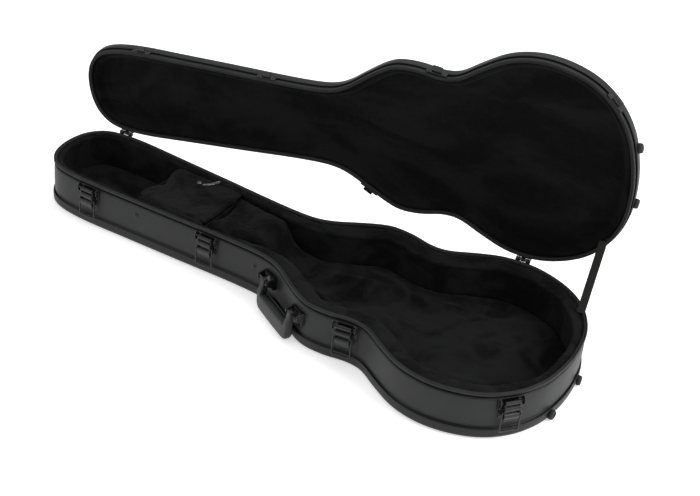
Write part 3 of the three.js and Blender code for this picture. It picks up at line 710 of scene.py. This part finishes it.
# %% [markdown]
# The neck support is a block of foam with a shallow cradle along its top and a slope down into the body
# cavity. Cross-sections along the case are lofted: each has upright sides, round shoulders and the dip of
# the cradle. The swell then draws its plush tight and a little uneven.

# %% Neck support
NECK_TOP = [(-163.5, 89.6), (-150, 88.2), (-132, 86), (-115, 85.4), (-98, 85.6), (-82, 86.8), (-68, 87.6),
            (-59, 85.8), (-52, 79), (-44, 66), (-35, 54), (-22, 44.5), (-6, 38), (11, 32), (24, 26),
            (33, 20), (39, 14.5)]
BLOCK_FLOOR = 12.5


def block_section(x, top):
    half = inside_half_width(x) - 1.5
    rise = top - BLOCK_FLOOR
    cradle = 2.2 * min(rise / 60, 1)
    shape = [(-1.0, 0.0), (-1.0, 0.55), (-0.985, 0.86), (-0.93, 0.97), (-0.8, 1.0), (-0.5, 0.995)]
    side = [(half * across, BLOCK_FLOOR + rise * up) for across, up in shape]
    middle = [(-half * 0.2, top - cradle), (half * 0.2, top - cradle)]
    return [(x, y, z) for y, z in side + middle] + [(x, -y, z) for y, z in reversed(side)]


neck_support = loft("neck_support_plush", [block_section(x, top) for x, top in NECK_TOP])
swell(neck_support, 5.5, 5.0)
plush_over_foam(neck_support, 1, 3.0, 1.1, BASE_PLUSH, "base", 0.8, "neck_block")
print("neck support:", len(neck_support.data.vertices), "points")

# %% [markdown]
# Two plush-covered boards fence off the accessory compartment, and a third is its lid. The lid's plush is
# wrapped round a thin board, so its edge is soft and a little wavy. It is hinged by its own cloth along
# the front edge, and a bowed tab with a stud lifts it.

# %% Accessory compartment
COMPARTMENT_HEAD = -318
COMPARTMENT_TAIL = -164


def board(name, start, node):
    half = inside_half_width(start + 3) - 0.4
    corners = [(-half, 12.6), (half, 12.6), (half, 78), (half - 4, 82.6), (-half + 4, 82.6), (-half, 78)]
    piece = loft(name, [[(x, y, z) for y, z in corners] for x in (start + 0.3, start + 5.7)])
    lumpy(subdivided(eased(piece, 1.4, 3), 2), PILE_LUMPS, 0.7)
    belongs(piece, "base", "board", LEDGE_PLUSH, node)
    return piece


board("compartment_head_board", COMPARTMENT_HEAD, "compartment_head_wall")
board("compartment_tail_board", COMPARTMENT_TAIL - 6.3, "compartment_tail_wall")


LID_OUTLINE = [
    (-317, -60), (-321.5, -48), (-320.5, -36), (-318, -24), (-313, -13), (-306, -5), (-307, 4), (-311, 14),
    (-314, 26), (-318, 40), (-318.5, 52), (-315, 61), (-306, 65), (-290, 65.5), (-262, 64.5), (-235, 65),
    (-206, 65), (-184, 65.5), (-171, 64.5), (-165.4, 59), (-164.4, 34), (-165.2, 4), (-164.4, -24),
    (-165, -46), (-167, -58), (-182, -61), (-210, -60.5), (-240, -61.5), (-270, -60.5), (-296, -61.5),
]


def shrunk(outline, inset, height):
    """The outline drawn in towards its middle by about an inset."""
    middle = Vector((-241, 2))
    ring = []
    for corner in outline:
        arm = Vector(corner) - middle
        place = middle + arm * (1 - inset / arm.length)
        ring.append((place.x, place.y, height))
    return ring


compartment_lid = loft("compartment_lid_plush", [
    shrunk(LID_OUTLINE, 3.0, 84.2), shrunk(LID_OUTLINE, 0.4, 85.6), shrunk(LID_OUTLINE, 0.0, 88.6),
    shrunk(LID_OUTLINE, 2.2, 90.6)])
swell(compartment_lid, 3.0, 1.6)
plush_over_foam(compartment_lid, 1, 3.4, 0.9, BASE_PLUSH, "compartment_lid", 0.5, "compartment_lid")

hinge_cloth = loft("compartment_cloth_hinge", [
    [(x, -70, 85.4), (x, -58, 85.6), (x, -57, 88.4), (x, -62, 89.8 + rise), (x, -67, 89.2), (x, -71, 87.4)]
    for x, rise in ((-317, -0.4), (-290, 0.5), (-260, -0.2), (-240, 0.4), (-220, -0.3), (-195, 0.4),
                    (-167, 0))])
lumpy(subdivided(hinge_cloth, 2), FOAM_LUMPS, 2.4)
belongs(hinge_cloth, "base", "plush", LEDGE_PLUSH, "compartment_lid_hinge")
print("compartment: two boards, a lid and a cloth hinge")

# %% [markdown]
# The lid lining is a dished tray of plush. Its rim rolls over by the extrusion, slopes in, and runs out
# into a floor that is nearly flat, with long low ripples where the cloth was stretched and glued.

# %% Lid lining
LID_FOLDS = [
    ((-120, 6), (150, 8), 0.03, 1.9), ((60, -38), (90, 9), 0.5, 2.2), ((100, -74), (70, 8), 0.2, 1.9),
    ((240, -66), (80, 9), -0.25, 2.2), ((330, 80), (90, 10), 0.2, 1.9), ((400, -60), (60, 9), 1.0, 2.2),
    ((180, 40), (110, 10), -0.1, 1.7), ((-330, -20), (90, 8), 0.06, 1.6),
]


def lining_height(x, y, z):
    height = z + 0.6
    for centre, spread, turn, fold in LID_FOLDS:
        height -= 1.5 * fold * bump_at(x, y, centre, spread, turn)
    return height - 2.2 * noise.noise(Vector((x / 60, y / 26, 4.2)))


# Offset from the outline and height above the closed rims
LINING = [(-5.4, 28.5), (-5.4, 14), (-5.6, 8.4), (-6.8, 6.6), (-9.4, 6.0), (-13.0, 6.8), (-16.4, 9.6),
          (-18.6, 14.0), (-20.4, 18.4), (-25, 20.6), (-36, 21)]
lid_lining = sweep("lid_lining_plush", [(offset, BASE_DEPTH + height) for offset, height in LINING],
                   (26, None, lining_height), OPEN_LID)
plush_over_foam(lid_lining, 1, 1.8, 1.0, LID_PLUSH, "lid", 0.6, "lid_padding")
print("lid lining:", len(lid_lining.data.vertices), "cage points")

# %% [markdown]
# Pressed hardware is drawn as flat outlines pushed along a wall or out of it, with a bevel that breaks
# each edge as the press tool does. Rivets, pins and feet are turned with Screw. Each piece is built in a
# wall frame, where X runs along the wall, -Y points out of it and Z is up, and then moved to its wall.

# %% Hardware helpers
OUTWARDS = Matrix.Rotation(math.radians(90), 4, "X")
ALONG = Matrix.Rotation(math.radians(90), 4, "Y")


def shift(x, y, z):
    return Matrix.Translation(Vector((x, y, z)) * MM)


def pushed_along(name, outline, width, place, centre=0.0):
    """An outline of (outwards, up), pushed along the wall."""
    ends = (centre - width / 2, centre + width / 2)
    return loft(name, [[(along, -out, up) for out, up in outline] for along in ends], place)


def pushed_out(name, outline, start, depth, place):
    """An outline of (along, up), pushed out of the wall."""
    faces = (start, start + depth)
    return loft(name, [[(along, -out, up) for along, up in outline] for out in faces], place)


def turned(name, profile, place, steps=24):
    """A profile of (radius, height) from top to bottom, turned about its own axis, then placed."""
    mesh = bpy.data.meshes.new(name)
    edges = [(i, i + 1) for i in range(len(profile) - 1)]
    mesh.from_pydata([(radius * MM, 0, height * MM) for radius, height in profile], edges, [])
    piece = bpy.data.objects.new(name, mesh)
    bpy.context.collection.objects.link(piece)
    screw = piece.modifiers.new("turned", "SCREW")
    screw.steps = steps
    screw.render_steps = steps
    screw.use_merge_vertices = True
    screw.merge_threshold = 0.00002
    screw.use_smooth_shade = True
    apply_stack(piece)
    piece.data.transform(place)
    return piece


def rivet(radius, place):
    dome = [(0, 0.62), (0.3, 0.58), (0.6, 0.45), (0.84, 0.24), (0.96, 0.04), (1, 0), (1, -0.12), (0, -0.12)]
    return turned("rivet", [(radius * across, radius * up) for across, up in dome], place, 20)


def pin(name, radius, length, place):
    half = length / 2
    end = [(0, half + 0.4), (radius * 0.8, half + 0.3), (radius * 1.3, half), (radius * 1.3, half - 0.6),
           (radius, half - 0.6)]
    profile = end + [(across, -up) for across, up in reversed(end)]
    return turned(name, profile, place @ ALONG, 16)


def rounded_path(corners, radius, steps=5):
    """A path whose inner corners are arcs, as bent wire has."""
    path = [Vector(corners[0])]
    for before, corner, after in zip(corners, corners[1:], corners[2:]):
        corner = Vector(corner)
        arrive = corner + (Vector(before) - corner).normalized() * radius
        leave = corner + (Vector(after) - corner).normalized() * radius
        for step in range(steps + 1):
            part = step / steps
            path.append(arrive.lerp(corner, part).lerp(corner.lerp(leave, part), part))
    return path + [Vector(corners[-1])]


def wire(name, path, radius, place):
    """A round wire along a path in millimetres, made as a bevelled curve and kept as a mesh."""
    curve = bpy.data.curves.new(name, "CURVE")
    curve.dimensions = "3D"
    curve.bevel_depth = radius * MM
    curve.bevel_resolution = 3
    curve.use_fill_caps = True
    spline = curve.splines.new("POLY")
    spline.points.add(len(path) - 1)
    for point, place_on_path in zip(spline.points, path):
        point.co = (*(place_on_path * MM), 1)
    piece = bpy.data.objects.new(name, curve)
    bpy.context.collection.objects.link(piece)
    bpy.context.view_layer.update()
    mesh = bpy.data.meshes.new_from_object(piece.evaluated_get(bpy.context.evaluated_depsgraph_get()))
    bpy.data.objects.remove(piece)
    mesh.transform(place)
    mesh.shade_smooth()
    finished = bpy.data.objects.new(name, mesh)
    bpy.context.collection.objects.link(finished)
    return finished


def frame_on(point, along):
    """A wall frame from a point in metres and the direction that its X takes."""
    across = Vector((-along.y, along.x, 0))
    axes = Matrix((along, across, Vector((0, 0, 1)))).transposed().to_4x4()
    return Matrix.Translation(point) @ axes


print("hardware helpers ready")

# %% [markdown]
# A draw latch is five pieces. A riveted plate has two cheeks that hold a pin, and the lever turns on that
# pin. A wire bail hangs in the lever; when the case shuts, it hooks over a catch on the lid, and pressing
# the lever down draws the lid tight. The lever's side view carries its whole character: a rolled top, a
# ribbed middle that holds the bail, and a finger lip that flares out at the bottom.

# %% Draw latches
PLATE = [(-17, 44), (17, 44), (23, 62), (23, 86), (-23, 86), (-23, 62)]
CHEEK = [(0.6, 68), (5, 69.6), (8.2, 73), (8.9, 78), (8.4, 82.4), (6, 85), (0.6, 85.8)]
LEVER = [(5.2, 82.4), (7.6, 82.6), (9.6, 81.6), (10.4, 79.6), (10.0, 77.4), (8.4, 75.8), (6.6, 74.9),
         (6.4, 73.4), (8.2, 72.6), (10.6, 71.2), (11.8, 68.8), (11.8, 66.2), (10.6, 63.8), (8.0, 62.2),
         (6.8, 60.8), (7.0, 59.4), (9.2, 58.4), (11.6, 56.6), (12.6, 53.8), (12.2, 50.6), (10.4, 47.4),
         (10.6, 43.6), (9.8, 42.4), (8.2, 43.2), (6.8, 46.4), (6.0, 50), (5.8, 55.2), (5.2, 60),
         (5.3, 66), (5.2, 72), (3.4, 75.4), (2.4, 78.8), (3.1, 81)]
RIB = [(1, 45.5), (1, 64), (2.3, 63), (2.3, 46.5)]
SIDE = [(3.6, 79), (8.2, 79), (9.0, 70), (11.6, 64), (11.6, 60), (7, 55), (5, 57)]
HOOK = [(0.8, 98.5), (11.3, 98.5), (11.8, 99), (11.9, 104), (11.4, 104.3), (10.8, 104), (10.6, 100.1),
        (0.8, 100)]
STRIP = [(-19, 95.2), (19, 95.2), (19, 104), (17, 104.6), (-17, 104.6), (-19, 104)]
PLATE_RIVETS = ((0, 47.4), (-18, 65), (18, 65))
PIVOT_OUT, PIVOT_UP = 5.2, 78.8
BAIL_OUT, BAIL_UP = 8.8, 62


def latch_frame(number):
    joint = JOINTS[f"lever_{number}_pivot"]
    along = Vector(joint["axis"]).normalized()
    inwards = Vector((-along.y, along.x, 0))
    wall_point = Vector(joint["pos_m"]) + inwards * PIVOT_OUT * MM - Vector((0, 0, PIVOT_UP * MM))
    return frame_on(wall_point, along)


def latch(number):
    place = latch_frame(number)
    name = f"latch_{number}"
    cheeks = [eased(pushed_along("cheek", CHEEK, 1.6, place, side * 20.8), 0.5) for side in (-1, 1)]
    ribs = [eased(pushed_along("rib", RIB, 2.2, place, side * 13), 0.5) for side in (-1, 1)]
    rivets = [rivet(2.6, place @ shift(along, -1.5, up) @ OUTWARDS) for along, up in PLATE_RIVETS]
    plate = combine(f"{name}_plate_pressed", eased(pushed_out("plate", PLATE, 0, 1.5, place), 0.5),
                    *cheeks, *ribs, *rivets)
    belongs(plate, "base", "hardware", HARDWARE, f"{name}_plate")
    lever_body = eased(pushed_along("lever", LEVER, 27.2, place), 0.45)
    sides = [eased(pushed_along("side", SIDE, 1.4, place, side * 13.4), 0.4) for side in (-1, 1)]
    lever = combine(f"{name}_lever_pressed", lever_body, *sides)
    belongs(lever, f"lever_{number}", "hardware", HARDWARE, f"{name}_lever")
    bottom = BAIL_UP - 40.5
    corners = [(side * reach, -BAIL_OUT, up) for side, reach, up in (
        (-1, 11, BAIL_UP), (-1, 16.6, BAIL_UP), (-1, 16.6, bottom), (1, 16.6, bottom), (1, 16.6, BAIL_UP),
        (1, 11, BAIL_UP))]
    bail = wire(f"{name}_bail_wire", rounded_path(corners, 3.2), 1.55, place)
    belongs(bail, f"bail_{number}", "hardware", HARDWARE, f"{name}_bail")
    latch_pin = pin(f"{name}_pin_turned", 1.2, 44.0, place @ shift(0, -PIVOT_OUT, PIVOT_UP))
    belongs(latch_pin, "base", "hardware", PINS, f"{name}_pin")
    on_lid = OPEN_LID @ place
    catch = combine(f"lid_catch_{number}_pressed", eased(pushed_out("strip", STRIP, 0.9, 1.5, on_lid), 0.4),
                    eased(pushed_along("hook", HOOK, 18, on_lid), 0.35),
                    *[rivet(2.2, on_lid @ shift(along, -2.4, 99.8) @ OUTWARDS) for along in (-14, 14)])
    belongs(catch, "lid", "hardware", HARDWARE, f"lid_catch_{number}")


for latch_number in range(1, 6):
    latch(latch_number)
print("five latches made")

# %% [markdown]
# The handle is one moulded piece: two thin arms that end in eyes on their pins, and a deep bar that stands
# further out and fills the hand. It is lofted along its centre line from rounded sections, each turned to
# face across that line, and then subdivided. A raised line behind the bar is the edge of its back half.

# %% Carrying handle
handle_joint = JOINTS["handle_swing"]
handle_along = -Vector(handle_joint["axis"]).normalized()
HANDLE_PLACE = frame_on(Vector(handle_joint["pos_m"]), handle_along)
# Place along and up from the pin, turn of the section, half width, half thickness, distance outwards
HALF_GRIP = [
    ((50.8, 6.1), 90, 3.4, 3.0, 0.3), ((50.8, 4.8), 90, 5.4, 4.6, 0.3), ((50.8, 0.5), 90, 6.2, 5.3, 0.4),
    ((50.8, -8), 90, 6.3, 6.0, 1.4), ((50.8, -15), 90, 6.4, 7.2, 2.8), ((50.7, -21), 96, 6.6, 7.9, 3.8),
    ((50.6, -25), 115, 7.2, 8.0, 4.1), ((50.4, -29.5), 138, 9.4, 8.1, 4.3),
    ((50.0, -33.5), 150, 12.4, 8.2, 4.5), ((48.8, -37), 161, 15.6, 8.3, 4.6),
    ((45.6, -38.8), 171, 17.0, 8.5, 4.8), ((39, -39), 180, 17.4, 8.6, 4.9), ((24, -39), 180, 17.5, 8.7, 5.0),
    ((8, -39), 180, 17.5, 8.8, 5.1),
]


def grip_section(centre, turn, half_width, half_thickness, outwards, mirror):
    """A rounded section across the grip's centre line."""
    across = Vector((math.sin(math.radians(turn)), math.cos(math.radians(turn))))
    ring = []
    for step in range(16):
        angle = 2 * math.pi * (step + 0.5) / 16
        wide = math.copysign(abs(math.cos(angle)) ** 0.5, math.cos(angle)) * half_width
        thick = math.copysign(abs(math.sin(angle)) ** 0.5, math.sin(angle)) * half_thickness
        along = mirror * (centre[0] + across.x * wide)
        ring.append((along, -outwards - thick, centre[1] + across.y * wide))
    return ring


right_half = [grip_section(*section, 1) for section in HALF_GRIP]
left_half = [grip_section(*section, -1) for section in reversed(HALF_GRIP)]
grip = subdivided(loft("handle_grip_moulded", right_half + left_half, HANDLE_PLACE), 2)
belongs(grip, "handle", "handle_plastic", GRIP, "handle_grip")
BACK_EDGE = [(-3.4, -24), (-3.4, -20), (-2.4, -19.2), (-0.9, -19.4), (-0.4, -24)]
back_edge = loft("handle_grip_back_edge", [
    [(along, -out, up + drop) for out, up in BACK_EDGE]
    for along, drop in ((-43, 1.5), (-40, 0), (-14, -0.3), (14, -0.3), (40, 0), (43, 1.5))], HANDLE_PLACE)
belongs(subdivided(back_edge, 2), "handle", "handle_plastic", GRIP)

# %% Handle brackets
PIN_OUT, PIN_UP = 11, 60
BRACKET_PLACE = HANDLE_PLACE @ shift(0, PIN_OUT, -PIN_UP)
EAR = [(1, 50), (7, 51.6), (13, 54.3), (15.4, 57.4), (15.5, 62), (13.2, 65.4), (8, 67.6), (1, 68.6)]


def wall_behind(place, along):
    """How far outside the side wall is, seen from a wall frame at a place along it."""
    into_frame = place.inverted()
    corners = [into_frame @ Vector((point.x * MM, point.y * MM, 0)) / MM for point, _ in STATIONS]
    for here, following in zip(corners, corners[1:] + corners[:1]):
        if (here.x - along) * (following.x - along) <= 0 and abs(here.y) < 40 and here.x != following.x:
            return -here.lerp(following, (along - here.x) / (following.x - here.x)).y
    raise ValueError(f"no wall at {along}")


for number, centre in ((1, -54.5), (2, 54.5)):
    steps = [centre - 17 + 34 * step / 8 for step in range(9)]
    plan = [(along, -wall_behind(BRACKET_PLACE, along)) for along in steps]
    plan += [(centre + 17, -1.4), (centre + 16.2, -2), (centre - 16.2, -2), (centre - 17, -1.4)]
    plate = loft("plate", [[(along, back, up) for along, back in plan] for up in (44, 69)], BRACKET_PLACE)
    bracket = combine(f"handle_bracket_{number}_pressed", eased(plate, 0.5),
                      *[eased(pushed_along("ear", EAR, 3, BRACKET_PLACE, centre + side * 15.5), 0.6)
                        for side in (-1, 1)],
                      *[rivet(2.4, BRACKET_PLACE @ shift(centre + along, -2, up) @ OUTWARDS)
                        for along in (-8, 8) for up in (47.5, 65)])
    belongs(bracket, "base", "hardware", HARDWARE, f"handle_bracket_{number}")
    handle_pin = pin(f"handle_pin_{number}_turned", 2.2, 34.6, HANDLE_PLACE @ shift(centre, 0, 0))
    belongs(handle_pin, "base", "hardware", PINS, f"handle_pin_{number}")
print("handle, brackets and pins made")

# %% [markdown]
# The lid turns on two butt hinges on the back. Each has a long leaf on the base and a short one on the
# lid, with three knuckles in a row. The leaves share one hinge line, which touches the two bulges of the
# case, so the same frame serves both.

# %% Hinges
HINGE_PLACES = (-470, 349)
LEAF_BACK = 2.9


def hinge_leaf(name, place, low, high, centres, rivet_rows):
    leaf = [(-14, low), (14, low), (14, high), (-14, high)]
    plate = eased(pushed_out("leaf", leaf, -LEAF_BACK, 1.5, place), 0.5)
    foot, head = min(low, -1.5), max(high, 1.5)
    lug = [(-LEAF_BACK, foot), (-1.4, foot), (-1.4, head), (-LEAF_BACK, head)]
    barrel = [(0, 4.4), (2.9, 4.4), (3.5, 3.9), (3.5, -3.9), (2.9, -4.4), (0, -4.4)]
    knuckles = []
    lugs = []
    for centre in centres:
        knuckles.append(turned("knuckle", barrel, place @ shift(centre, 0, 0) @ ALONG, 20))
        lugs.append(eased(pushed_along("lug", lug, 8.8, place, centre), 0.4))
    rivets = [rivet(2.6, place @ shift(along, LEAF_BACK - 1.5, up) @ OUTWARDS)
              for along in (-8.5, 8.5) for up in rivet_rows]
    return combine(name, plate, *knuckles, *lugs, *rivets)


for number, x in enumerate(HINGE_PLACES, 1):
    on_line = hinge_point + hinge_axis * (x * MM / hinge_axis.x)
    place = frame_on(on_line, hinge_axis)
    base_leaf = hinge_leaf(f"hinge_{number}_base_leaf_pressed", place, -24, -4, (-9.35, 9.35), (-19.5, -10))
    belongs(base_leaf, "base", "hardware", HARDWARE, f"hinge_{number}_base_leaf")
    lid_leaf = hinge_leaf(f"hinge_{number}_lid_leaf_pressed", OPEN_LID @ place, 4, 9.8, (0,), (6.9,))
    belongs(lid_leaf, "lid", "hardware", HARDWARE, f"hinge_{number}_lid_leaf")
print("two hinges made")

# %% [markdown]
# Small fixings finish the outside: domed rivets with washers hold the compartment boards to the side
# wall, and turned rubber feet with a recessed screw let the case stand on its butt end.

# %% Wall rivets and feet
def wall_frame(x, side):
    """The wall frame at a distance along the case. Side is 1 at the hinges and -1 in front."""
    for (before, _), (after, _) in zip(STATIONS, STATIONS[1:] + STATIONS[:1]):
        if before.y * side > 1 and (before.x - x) * (after.x - x) <= 0:
            part = (x - before.x) / (after.x - before.x)
            point = before.lerp(after, part)
            return frame_on(Vector((point.x, point.y, 0)) * MM, Vector((*(after - before).normalized(), 0)))
    raise ValueError(f"no wall at {x}")


WASHER = [(0, 0.9), (3.4, 0.9), (4.6, 0.7), (5.2, 0.2), (5.2, -0.3), (0, -0.3)]
for side, side_name in ((-1, "front"), (1, "back")):
    for number, (x, up) in enumerate(((-303, 62), (-44, 59)), 1):
        place = wall_frame(x, side) @ shift(0, 0, up) @ OUTWARDS
        fixing = combine(f"wall_rivet_{side_name}_{number}", turned("washer", WASHER, place),
                         rivet(3.4, place @ shift(0, 0, 0.8)))
        belongs(fixing, "base", "hardware", HARDWARE)

FOOT = [(2.9, 4.2), (3.6, 6.6), (4.6, 7.0), (6.8, 6.9), (7.9, 6.2), (8.6, 4.4), (9, 2.4), (9, 0), (0, 0)]
SCREW_HEAD = [(0, 5.2), (1.6, 5.0), (2.6, 4.4), (2.9, 3.6), (2.9, 1), (0, 1)]
for number in (1, 2):
    low, high = (Vector(corner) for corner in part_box(f"base_foot_{number}"))
    middle = (low + high) / 2
    nearest = min(STATIONS, key=lambda station: (Vector((*station[0], 0)) * MM - middle).xy.length)
    outwards = Vector((*nearest[1], 0))
    along = Vector((-outwards.y, outwards.x, 0))
    base_place = frame_on(middle - outwards * 3.5 * MM, along)
    rise = shift(0, 0, 105)
    for half, place in (("base", base_place), ("lid", OPEN_LID @ rise @ base_place)):
        foot = turned(f"{half}_foot_{number}_moulded", [(0, 4.2)] + FOOT, place @ OUTWARDS, 32)
        belongs(foot, half, "foot_rubber", RUBBER, f"{half}_foot_{number}")
        screw = turned(f"{half}_foot_screw_{number}", SCREW_HEAD, place @ OUTWARDS, 20)
        belongs(screw, half, "hardware", PINS)
print("rivets and feet made")

# %% [markdown]
# A woven strap stops the lid. It is flat webbing, so it is modelled directly: a thin ribbon with a soft
# edge, lofted between its two anchor plates. Its UV map runs along the strap, so the weave follows it.
# When the lid shuts, the real strap folds away inside.

# %% Lid strap
STRAP_WIDTH = 15
STRAP_THICKNESS = 1.6


def strap_end(x, inwards, height):
    return wall_frame(x, 1) @ shift(0, inwards, height)


strap_low = strap_end(505, 9.5, 91).translation
strap_high = (OPEN_LID @ strap_end(501, 9.5, 95.5)).translation
run = strap_high - strap_low
run_direction = run.normalized()
width_direction = Vector((1, 0, 0)) - run_direction * run_direction.x
width_direction.normalize()
face_direction = run_direction.cross(width_direction)
STRAP_STEPS = 40
ribbon = []
for step in range(STRAP_STEPS + 1):
    middle = strap_low.lerp(strap_high, step / STRAP_STEPS) / MM
    edge = STRAP_WIDTH / 2
    half = STRAP_THICKNESS / 2
    rim = [(-edge, -half * 0.4), (-edge, half * 0.4), (-edge + 1.2, half), (0, half), (edge - 1.2, half),
           (edge, half * 0.4), (edge, -half * 0.4), (edge - 1.2, -half), (0, -half), (-edge + 1.2, -half)]
    ribbon.append([tuple(middle + width_direction * across + face_direction * out) for across, out in rim])
strap = subdivided(loft("lid_strap_webbing", ribbon), 1)
apply_stack(strap)
strap_uv = strap.data.uv_layers.new(name="weave")
for corner in strap.data.loops:
    reach = strap.data.vertices[corner.vertex_index].co - strap_low
    strap_uv.data[corner.index].uv = (reach.dot(run_direction), reach.dot(width_direction))
belongs(strap, "base", "webbing", WEBBING, "lid_strap")
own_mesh(strap)

ANCHOR = [(-11, 0), (11, 0), (11, 5.6), (-11, 5.6)]
for name, body, place in (("strap_anchor_base", "base", wall_frame(508, 1) @ shift(0, 7, 87.5)),
                          ("strap_anchor_lid", "lid", OPEN_LID @ wall_frame(500, 1) @ shift(0, 7, 94.6))):
    inner_face = place @ Matrix.Rotation(math.pi, 4, "Z")
    anchor = combine(f"{name}_plate", eased(pushed_out("plate", ANCHOR, 0.1, 1.4, inner_face), 0.4),
                     *[rivet(1.9, inner_face @ shift(along, -1.5, 2.8) @ OUTWARDS) for along in (-7, 7)])
    belongs(anchor, body, "hardware", HARDWARE, name)
print("strap length", round(run.length, 3), "m")

# %% [markdown]
# The compartment lid's pull is a glossy bowed tab held by a stud, the only bright thing inside.

# %% Compartment pull
PULL = hard_finish("glossy_pull", (300, 3), ((0.3, grey(0.05)), (0.7, grey(0.11))), ((200, 3), 0.2, 0.34),
                   Specular_IOR_Level=0.6, Coat_Weight=0.6, Coat_Roughness=0.15).material
STUD = [(0, 94.2), (1.2, 93.2), (2.2, 93.6), (3.6, 94.0), (4.6, 93.0), (5.2, 90.5), (0, 90.5)]
stud = turned("pull_stud_turned", STUD, shift(-253, 40, 0))
belongs(stud, "compartment_lid", "handle_plastic", PULL, "pull_stud")
BOW = [(-246, 39, 91.6), (-241, 39.2, 93.4), (-235, 41.6, 94.8), (-229.5, 46.2, 95.6), (-226, 53, 95.6),
       (-224.6, 60.5, 94.6), (-225.5, 66.5, 92.8), (-227, 69.5, 91.2)]
tab_sections = []
for (x, y, z), half_width in zip(BOW, (1.6, 2.4, 3.0, 3.4, 3.4, 3.0, 2.4, 1.6)):
    spoke = Vector((x + 250, y - 66)).normalized()
    tab_sections.append([(x + spoke.x * across, y + spoke.y * across, z + lift) for across, lift in (
        (-half_width, 0.4), (-half_width * 0.5, 1.2), (half_width * 0.5, 0.6), (half_width, -0.6),
        (half_width * 0.5, -1.2), (-half_width * 0.5, -0.8))])
tab = subdivided(loft("pull_tab_moulded", tab_sections), 2)
belongs(tab, "compartment_lid", "handle_plastic", PULL, "pull_tab")
print("pull made")
